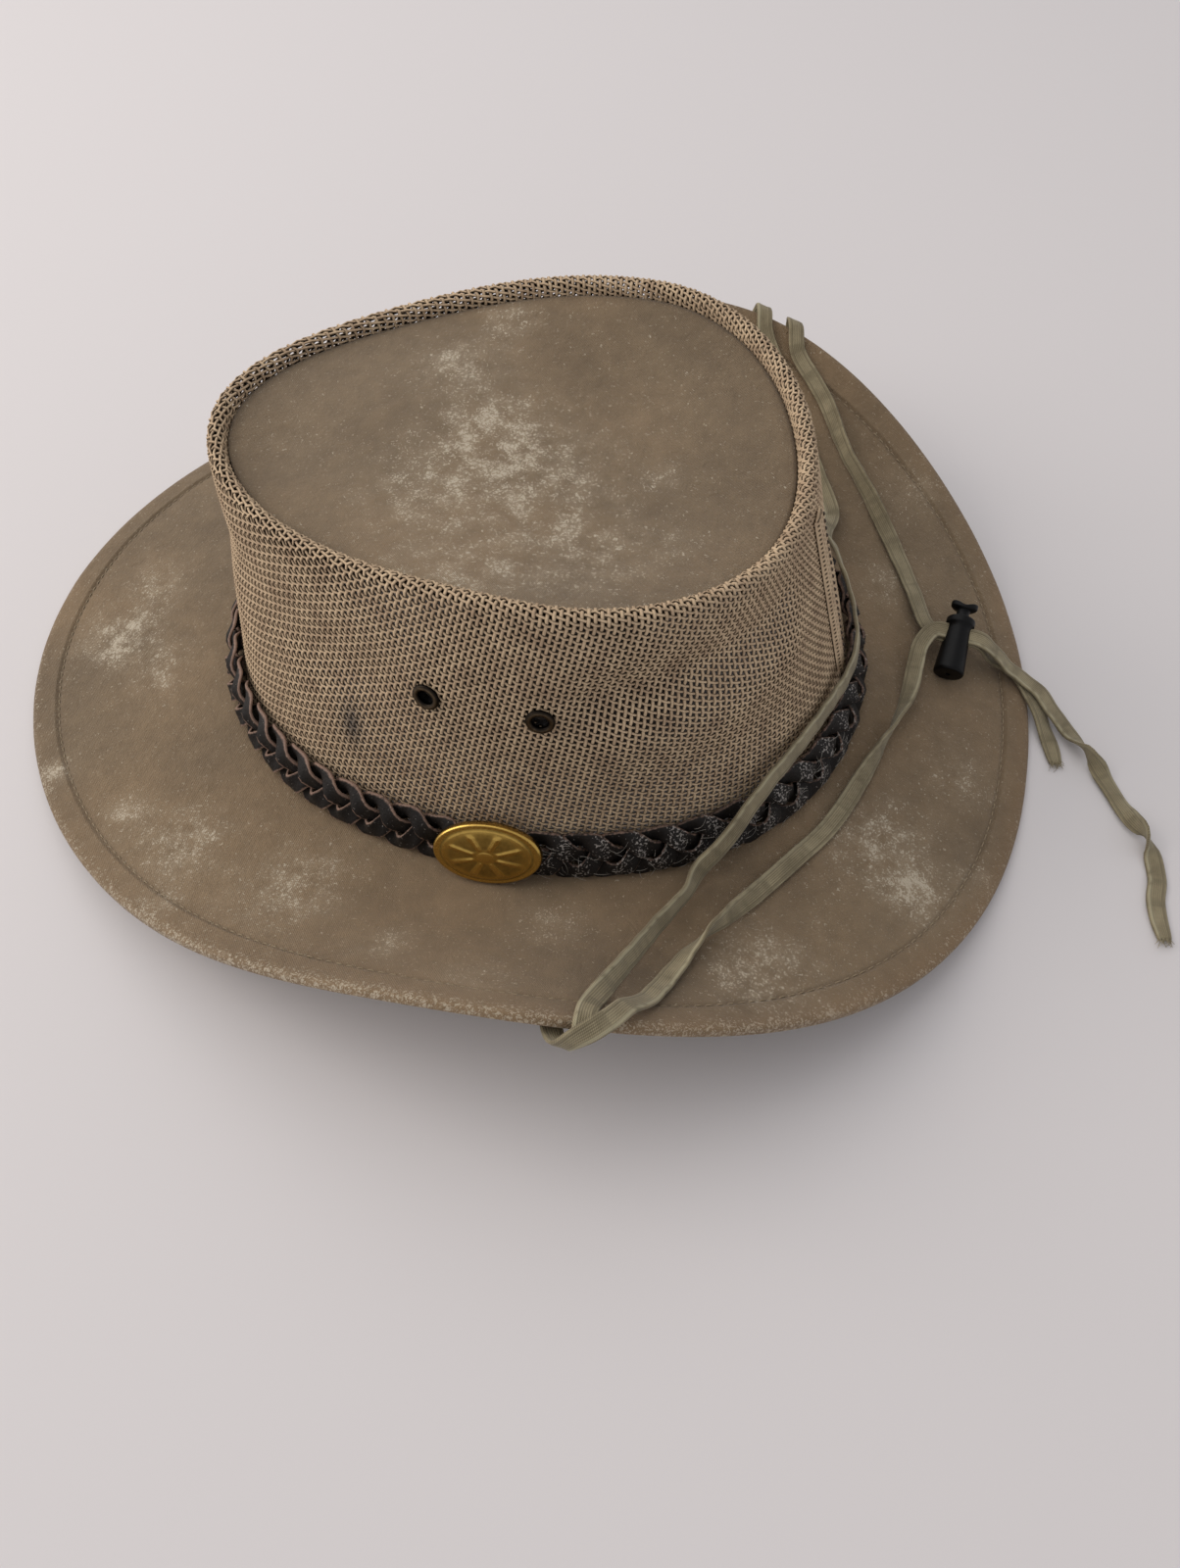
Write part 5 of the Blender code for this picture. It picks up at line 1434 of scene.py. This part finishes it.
def make_wall(yarn):
    """The mesh wall, woven from single yarns: warps up the crown and over the roll, wefts that climb
    round it. Every other crossing goes over, so the yarns pass clear of each other."""
    rng = np.random.default_rng(DYE_SEED)
    rows = WEFT_ROWS + ROLL_ROWS
    column = np.arange(WARP_COLUMNS)[:, None]
    step = np.arange(rows)[None, :]
    row = column % WARPS_A_ROW / WARPS_A_ROW + step
    over = np.where((column + step - column // WARPS_A_ROW) % 2 == 0, -1, 1)
    turn = column * 2 * math.pi / WARP_COLUMNS + 0 * row
    middle, out = mesh_sheet(turn, row)
    sway = 2 * math.pi / WARP_COLUMNS * ripple(middle, *WARP_SWAY)
    middle, out = mesh_sheet(turn + sway, row)
    middle = middle + times(out, over * YARN_SWING)
    dyed = rng.uniform(-1, 1, WARP_COLUMNS)
    warps = yarn_piece("mesh_warps", middle, out, WARP_WIDTH, YARN_THICKNESS, dyed, yarn)
    wear(warps, "woven_mesh", "crown_mesh_wall")
    start = np.arange(WEFT_CLIMB)[:, None]
    crossing = np.arange(rows * WARPS_A_ROW - 2)[None, :]
    row = crossing / WARPS_A_ROW + 0.0 * start
    turn = (crossing - WARPS_A_ROW * start) * 2 * math.pi / WARP_COLUMNS
    over = np.where(crossing % 2 == 0, 1, -1) + 0 * start
    middle, out = mesh_sheet(turn, row)
    wander = ripple(middle, *WEFT_WANDER)
    middle, out = mesh_sheet(turn, np.maximum(row + wander, 0))
    middle = middle + times(out, over * YARN_SWING)
    dyed = rng.uniform(-1, 1, WEFT_CLIMB)
    wefts = yarn_piece("mesh_wefts", middle, out, WEFT_WIDTH, YARN_THICKNESS, dyed, yarn)
    wear(wefts, "woven_mesh", "crown_mesh_wall")


def make_back_seam(yarn, thread):
    """The back seam's ridge of folded mesh, with its line of stitches down one side."""
    share = np.linspace(SEAM_LOWEST, SEAM_HIGHEST, SEAM_STATIONS)[:, None]
    across = np.linspace(-1, 1, SEAM_COLUMNS)[None, :]
    around, _, out = wall_axes(0.0, share)
    base = wall_face(0.0, share)
    height = GAP + SEAM_HEIGHT * (1 - np.abs(across) ** 5) * 0.96
    row = 0.5 - 0.5 * np.cos(2 * math.pi * share * WEFT_ROWS)
    column = 0.5 - 0.5 * np.cos(math.pi * across * 4)
    hole = np.clip(row * column * 2.2 - 0.7, 0, 1)
    beside = base + times(around, across * SEAM_WIDTH / 2)
    upper = beside + times(out, height - SEAM_HOLE * hole)
    points = both_faces(upper, beside + out * GAP)
    size = (1, *points.shape[:2])
    piece = piece_of("seam_ridge", points, tube_quads(*size), yarn, tube_caps(*size))
    mark(piece, "dyed", np.full(points.shape[:2], 0.9))
    # Painted shade in the holes of the folded seam.
    mark(piece, "inner", both_faces(hole, hole))
    wear(piece, "woven_mesh", "back_seam")
    line = base + (around * (SEAM_STITCHED_AT * SEAM_WIDTH) + out * (GAP + 0.9 * SEAM_HEIGHT))
    stitches_on("seam_stitches", line[:, 0], out[:, 0], SEAM_STITCH, thread, "woven_mesh")


# Band, badge and eyelets.


def band_spot(turn, height, depth):
    """A place in the plaited band: height from its middle line, depth out from its middle."""
    _, up, out = wall_axes(turn, BAND_FRAME_SHARE)
    middle = BAND_HALF_HEIGHT + 2 * GAP
    standoff = BRAID_STANDOFF - BRAID_LEAN * height
    return crown_foot(turn) + times(up, middle + height) + times(out, standoff + depth)


def make_band(leather):
    """The band: three flat thongs plaited flat, each cupped by the knife that cut it."""
    stations = BRAID_PERIODS * THONG_STATIONS
    for strand in range(3):
        t = (np.arange(stations) * 2 * math.pi / THONG_STATIONS)[:, None]
        turn = (t - 2 * math.pi * strand / 3) / BRAID_PERIODS
        v = np.sin(np.linspace(-math.pi / 2, math.pi / 2, THONG_COLUMNS))[None, :]
        half_height = THONG_WIDTH / 2 * np.hypot(1, BRAID_SLOPE * np.cos(t))
        wobble = THONG_WOBBLE * np.sin(t * 2.7 + strand)
        wobble = wobble + THONG_WOBBLE * np.sin(t * 0.37 + 2 * strand)
        height = BRAID_SWING * np.sin(t) + wobble + v * half_height
        depth = BRAID_WEAVE * np.sin(2 * t) + STRAND_ROLL * np.cos(3 * t) * v * half_height
        half = THONG_THICKNESS / 2 * (1 - THONG_EDGE_THINNED * np.abs(v) ** 6)
        bow = THONG_BOW * (1 - v * v)
        upper = band_spot(turn, height, depth + half + bow)
        lower = band_spot(turn, height, depth - half + bow)
        points = both_faces(upper, lower)
        quads = grid_quads(*points.shape[:2], True, True)
        piece = piece_of(f"thong_{strand + 1}", points, quads, leather)
        grimed = np.clip(1.6 * np.cos(turn - math.radians(THONG_GRIMED_TURN)) - 0.3, 0, 1)
        mark(piece, "across", np.abs(both_faces(v, v)) - THONG_GRIME * grimed)
        rear = np.clip(np.cos(turn - math.radians(THONG_SCUFFED_TURN)), 0, 1) ** 2
        scuffed = rear * np.clip(np.sin(2 * t), 0, 1)
        mark(piece, "scuffed", scuffed + np.zeros((1, points.shape[1])))
        wear(piece, "braid_leather", f"braid_strand_{strand + 1}")


def hairs_from(start, run, side, out, length, radius, rng):
    """Fine curved hairs, each from its start along its run: their points and quads."""
    count = len(start)
    t = np.linspace(0, 1, HAIR_STATIONS)[None, :, None]
    sway = rng.normal(0, HAIR_SWAY, (count, 1, 1))
    lift = rng.uniform(*HAIR_LIFTS, (count, 1, 1))
    reach = np.asarray(length)[:, None, None]
    line = start[:, None] + reach * (
        run[:, None] * t + side[:, None] * sway * t * t + out[:, None] * lift * t * (1.6 - t)
    )
    angle = all_round(HAIR_SIDES)
    ring = side[:, None, None] * np.cos(angle) + out[:, None, None] * np.sin(angle)
    points = line[:, :, None] + ring * (radius * (1 - 0.5 * t))[:, :, None]
    return points.reshape(-1, 3), tube_quads(count, HAIR_STATIONS, HAIR_SIDES)


def make_lint(finish):
    """Pale lint that clings to the band behind the badge, where the thongs are scuffed."""
    rng = np.random.default_rng(LINT_SEED)
    turn = np.radians(rng.uniform(*LINT_TURNS, LINT_HAIRS))
    height = rng.uniform(-0.9, 0.9, LINT_HAIRS) * BAND_HALF_HEIGHT
    start = band_spot(turn, height, THONG_THICKNESS / 2 + BRAID_WEAVE * 0.8)
    around, up, out = wall_axes(turn, BAND_FRAME_SHARE)
    lean = rng.uniform(0, 2 * math.pi, LINT_HAIRS)
    run = times(around, np.cos(lean)) + times(up, 0.6 * np.sin(lean))
    length = rng.uniform(*LINT_LENGTHS, LINT_HAIRS)
    points, quads = hairs_from(start, run, unit(np.cross(out, run)), out, length, LINT_RADIUS, rng)
    wear(piece_of("band_lint", points, quads, finish), "braid_leather")


def turned_piece(name, profile, sides, place, finish, flatness=1.0, closed=False):
    """A profile of (radius, height) turned about a place's own Z axis."""
    profile = np.array(profile)
    angle = all_round(sides)
    radius, height = profile[:, 0][None, :], profile[:, 1][None, :]
    own = spot(radius * np.cos(angle), flatness * radius * np.sin(angle), height)
    quads = grid_quads(sides, len(profile), True, closed)
    first = np.arange(sides) * len(profile)
    caps = () if closed else (first, first + len(profile) - 1)
    return piece_of(name, carried(place, own), quads, finish, caps)


def badge_place():
    """The badge's frame: X along the band, Y up its plate, Z out of its face."""
    turn = math.radians(BADGE_TURN)
    around, up, out = wall_axes(turn, BAND_FRAME_SHARE)
    centre = crown_foot(turn) + up * BADGE_LIFT + out * BADGE_STANDOFF
    lean = np.array(Matrix.Rotation(math.radians(BADGE_TILT), 3, Vector(around)))
    up, out = lean @ up, lean @ out
    level = math.radians(BADGE_LEVEL)
    along = around * math.cos(level) + up * math.sin(level)
    return placed(centre, along, np.cross(out, along), out)


def make_badge(brass):
    """The oval badge: a domed plate with a beaded border and a plain star of rays in low relief."""
    angle = all_round(BADGE_SIDES)
    r = np.concatenate([np.linspace(0.04, 0.98, BADGE_RINGS), [0.995, 1.0, 1.0]])[None, :]
    dome = np.interp(r, *zip(*BADGE_DOME_SECTION))
    beam = np.abs(((angle * BADGE_RAYS / math.pi) % 2) - 1)
    ray = np.clip(1 - RAY_SHARPNESS * beam * (0.25 + r) / 0.8, -0.35, 1)
    ray = ray * np.clip((RAYS_TO - r) / 0.1, 0, 1) * np.clip((r - RAYS_FROM) / 0.06, 0, 1)
    boss = np.clip(1 - (r / BOSS_REACH) ** 4, 0, 1)
    beads = fading(r - BEADS_AT, BEADS_REACH) * np.cos(angle * BEADS) * 0.5
    relief = RAY_RELIEF * ray + BOSS_RELIEF * boss + BEAD_RELIEF * beads
    height = dome * BADGE_DOME + relief * (r < 0.97)
    height[:, -1] = -BADGE_PLATE
    own = spot(BADGE_WIDTH / 2 * r * np.cos(angle), BADGE_HEIGHT / 2 * r * np.sin(angle), height)
    count = r.shape[1]
    first = np.arange(BADGE_SIDES) * count
    quads = grid_quads(BADGE_SIDES, count, True, False)
    caps = (first, first + count - 1)
    piece = piece_of("star_badge", carried(badge_place(), own), quads, brass, caps)
    valley = fading(r - BADGE_VALLEY_AT, BADGE_VALLEY_REACH) * 0.5 + 0 * angle
    sunk = np.clip(0.2 - relief / 0.0003, 0, 0.45) * (r < 0.78) + valley
    mark(piece, "sunk", sunk)
    return wear(piece, "badge_brass", "badge")


def make_eyelet(side, turn, metal):
    """A vent eyelet, its rolled flange outside the mesh and its washer inside."""
    turn = math.radians(turn)
    around, up, out = wall_axes(turn, EYELET_HEIGHT_SHARE)
    place = placed(wall_face(turn, EYELET_HEIGHT_SHARE), around, up, out)
    bulge = EYELET_FLANGE_RADIUS**2 / CROWN_HALF_WIDTH
    inside = -WALL_THICKNESS - GAP - bulge
    swell = np.linspace(math.pi, 0, EYELET_ARC)
    rolled = EYELET_FLANGE_RADIUS - EYELET_ROLLED_IN
    centre = (rolled + EYELET_HOLE_RADIUS) / 2
    half = (rolled - EYELET_HOLE_RADIUS) / 2
    high = EYELET_SWELL * EYELET_FLANGE
    dome = [(centre + half * math.cos(a), GAP + high * math.sin(a) ** 0.8) for a in swell]
    washer = [
        (EYELET_FLANGE_RADIUS, inside),
        (EYELET_FLANGE_RADIUS - EYELET_CHAMFER, inside - EYELET_FLANGE),
        (EYELET_HOLE_RADIUS, inside - EYELET_FLANGE),
    ]
    barrel = [(EYELET_HOLE_RADIUS + EYELET_BARREL_WALL, height) for height in (GAP, inside)]
    profile = dome + barrel + washer
    piece = turned_piece("vent_" + side, profile, EYELET_SIDES, place, metal, closed=True)
    worn = [math.sin(a) ** 6 for a in swell] + [0] * (len(barrel) + len(washer))
    mark(piece, "worn", np.tile(worn, EYELET_SIDES))
    wear(piece, "eyelet_metal", "eyelet_" + side)


# Lock.


def cut_box(piece, name, low, high, place):
    """Cuts a box, given in a place's own axes, out of a piece."""
    xs, ys, zs = zip(low, high)
    corners = [(x, y, z) for z in zs for y in ys for x in xs]
    quads = np.array(
        [[0, 1, 3, 2], [4, 5, 7, 6], [0, 1, 5, 4], [2, 3, 7, 6], [0, 2, 6, 4], [1, 3, 7, 5]]
    )
    cutter = piece_of(name, carried(place, corners), quads, piece.data.materials[0])
    cut = piece.modifiers.new(name, "BOOLEAN")
    cut.operation = "DIFFERENCE"
    cut.object = cutter
    settle(piece)
    bpy.data.objects.remove(cutter)


def round_profile(rows, steps=5):
    """A profile whose corners are rounded: rows of (radius, height, rounding)."""
    rows = np.array(rows)
    made = []
    for i, (radius, height, rounding) in enumerate(rows):
        here = np.array((radius, height))
        if rounding == 0 or i in (0, len(rows) - 1):
            made.append(here)
            continue
        before = here + unit(rows[i - 1, :2] - here) * rounding
        after = here + unit(rows[i + 1, :2] - here) * rounding
        for t in np.linspace(0, 1, steps):
            made.append(before * (1 - t) ** 2 + here * 2 * t * (1 - t) + after * t * t)
    return made


def shape_thumb(plunger, place, neck):
    """Draws the cap out into two ears along the tapes and hollows it between them."""
    points = np.array([v.co for v in plunger.data.vertices], float)
    own = (points - place[:3, 3]) @ place[:3, :3]
    cap = np.clip((own[:, 2] - neck + THUMB_SOFT) / THUMB_SOFT, 0, 1)
    own[:, 0] *= 1 + THUMB_LONGER * cap
    own[:, 1] *= 1 - THUMB_NARROWER * cap
    middle = fading(own[:, 0], THUMB_HOLLOW_REACH)
    own[:, 2] -= THUMB_HOLLOW * middle * np.clip((own[:, 2] - neck) / PLUNGER_CAP, 0, 1)
    own[:, 2] += THUMB_EARS * cap * (own[:, 0] / PLUNGER_CAP_RADIUS) ** 2
    plunger.data.vertices.foreach_set("co", carried(place, own).ravel())
    plunger.data.update()


def make_lock(plastic):
    """The sliding lock: a barrel that flares to its foot, and a plunger with a thumb cap."""
    place = lock_place()
    top = LOCK_BARREL_LENGTH
    outside = [
        # radius, height, rounding
        (LOCK_CORE_RADIUS, 0.0, 0),
        (LOCK_RADIUS, 0.0, 0.0012),
        (LOCK_RADIUS * 0.97, 0.0022, 0.0008),
        (LOCK_WAIST_RADIUS, top - 0.0034, 0.0012),
        (LOCK_SHOULDER_RADIUS, top - 0.0024, 0.0004),
        (LOCK_SHOULDER_RADIUS, top, 0.0006),
        (LOCK_BORE_RADIUS, top, 0.0003),
        (LOCK_BORE_RADIUS, LOCK_FLOOR, 0),
        (LOCK_CORE_RADIUS, LOCK_FLOOR, 0),
    ]
    barrel = turned_piece(
        "lock_body", round_profile(outside), LOCK_SIDES, place, plastic, LOCK_FLATNESS, closed=True
    )
    half_depth = TAPE_THICKNESS + 2 * GAP
    low = LOCK_SLOT_CENTRE - TAPE_WIDTH / 2 - LOCK_SLOT_ROOM
    high = LOCK_SLOT_CENTRE + TAPE_WIDTH / 2 + LOCK_SLOT_ROOM
    reach = 3 * LOCK_RADIUS
    cut_box(barrel, "slot", (-reach, -half_depth, low), (reach, half_depth, high), place)
    pin = LOCK_BORE_RADIUS - PLUNGER_CLEARANCE
    bottom = LOCK_FLOOR + PLUNGER_TRAVEL + 2 * GAP
    neck = top + PLUNGER_NECK
    profile = [
        # radius, height, rounding
        (pin, bottom, 0),
        (pin, top + 0.0004, 0.0002),
        (PLUNGER_NECK_RADIUS, top + 0.0008, 0.0002),
        (PLUNGER_NECK_RADIUS, neck - 0.0006, 0.0004),
        (PLUNGER_CAP_RADIUS, neck, 0.0004),
        (PLUNGER_CAP_RADIUS, neck + PLUNGER_CAP, 0.0009),
        (0.0010, neck + PLUNGER_CAP * 1.04, 0),
    ]
    plunger = turned_piece("lock_thumb", round_profile(profile), LOCK_SIDES, place, plastic)
    shape_thumb(plunger, place, neck)
    above = high + PLUNGER_TRAVEL
    cut_box(plunger, "plunger_slot", (-reach, -half_depth, low), (reach, half_depth, above), place)
    for piece in (barrel, plunger):
        piece.data.set_sharp_from_angle(angle=math.radians(40))
    wear(barrel, "black_plastic", "lock_barrel")
    wear(plunger, "black_plastic", "lock_plunger", body="plunger")
    return [barrel, plunger]


def main():
    set_camera()
    canvas, yarn, tape = brushed_canvas(), spun_mesh_yarn(), woven_cotton_tape()
    plastic = moulded_acetal()
    thread = waxed_thread("waxed_thread", "#6B5A45", "#A8977A")
    make_straps(tape, make_lock(plastic))
    for side, turn in TAB_TURNS.items():
        make_tab(side, turn, tape)
    set_studio()
    make_brim(canvas)
    make_hem_stitches(thread)
    make_tip(canvas)
    make_wall(yarn)
    make_back_seam(yarn, waxed_thread("dark_thread", "#2A2119", "#54463A"))
    make_band(oiled_thong())
    make_lint(waxed_thread("pale_lint", "#8F8A82", "#C9C4BA"))
    make_badge(stamped_brass())
    metal = blackened_metal()
    for side, turn in EYELET_TURNS.items():
        make_eyelet(side, turn, metal)


main()
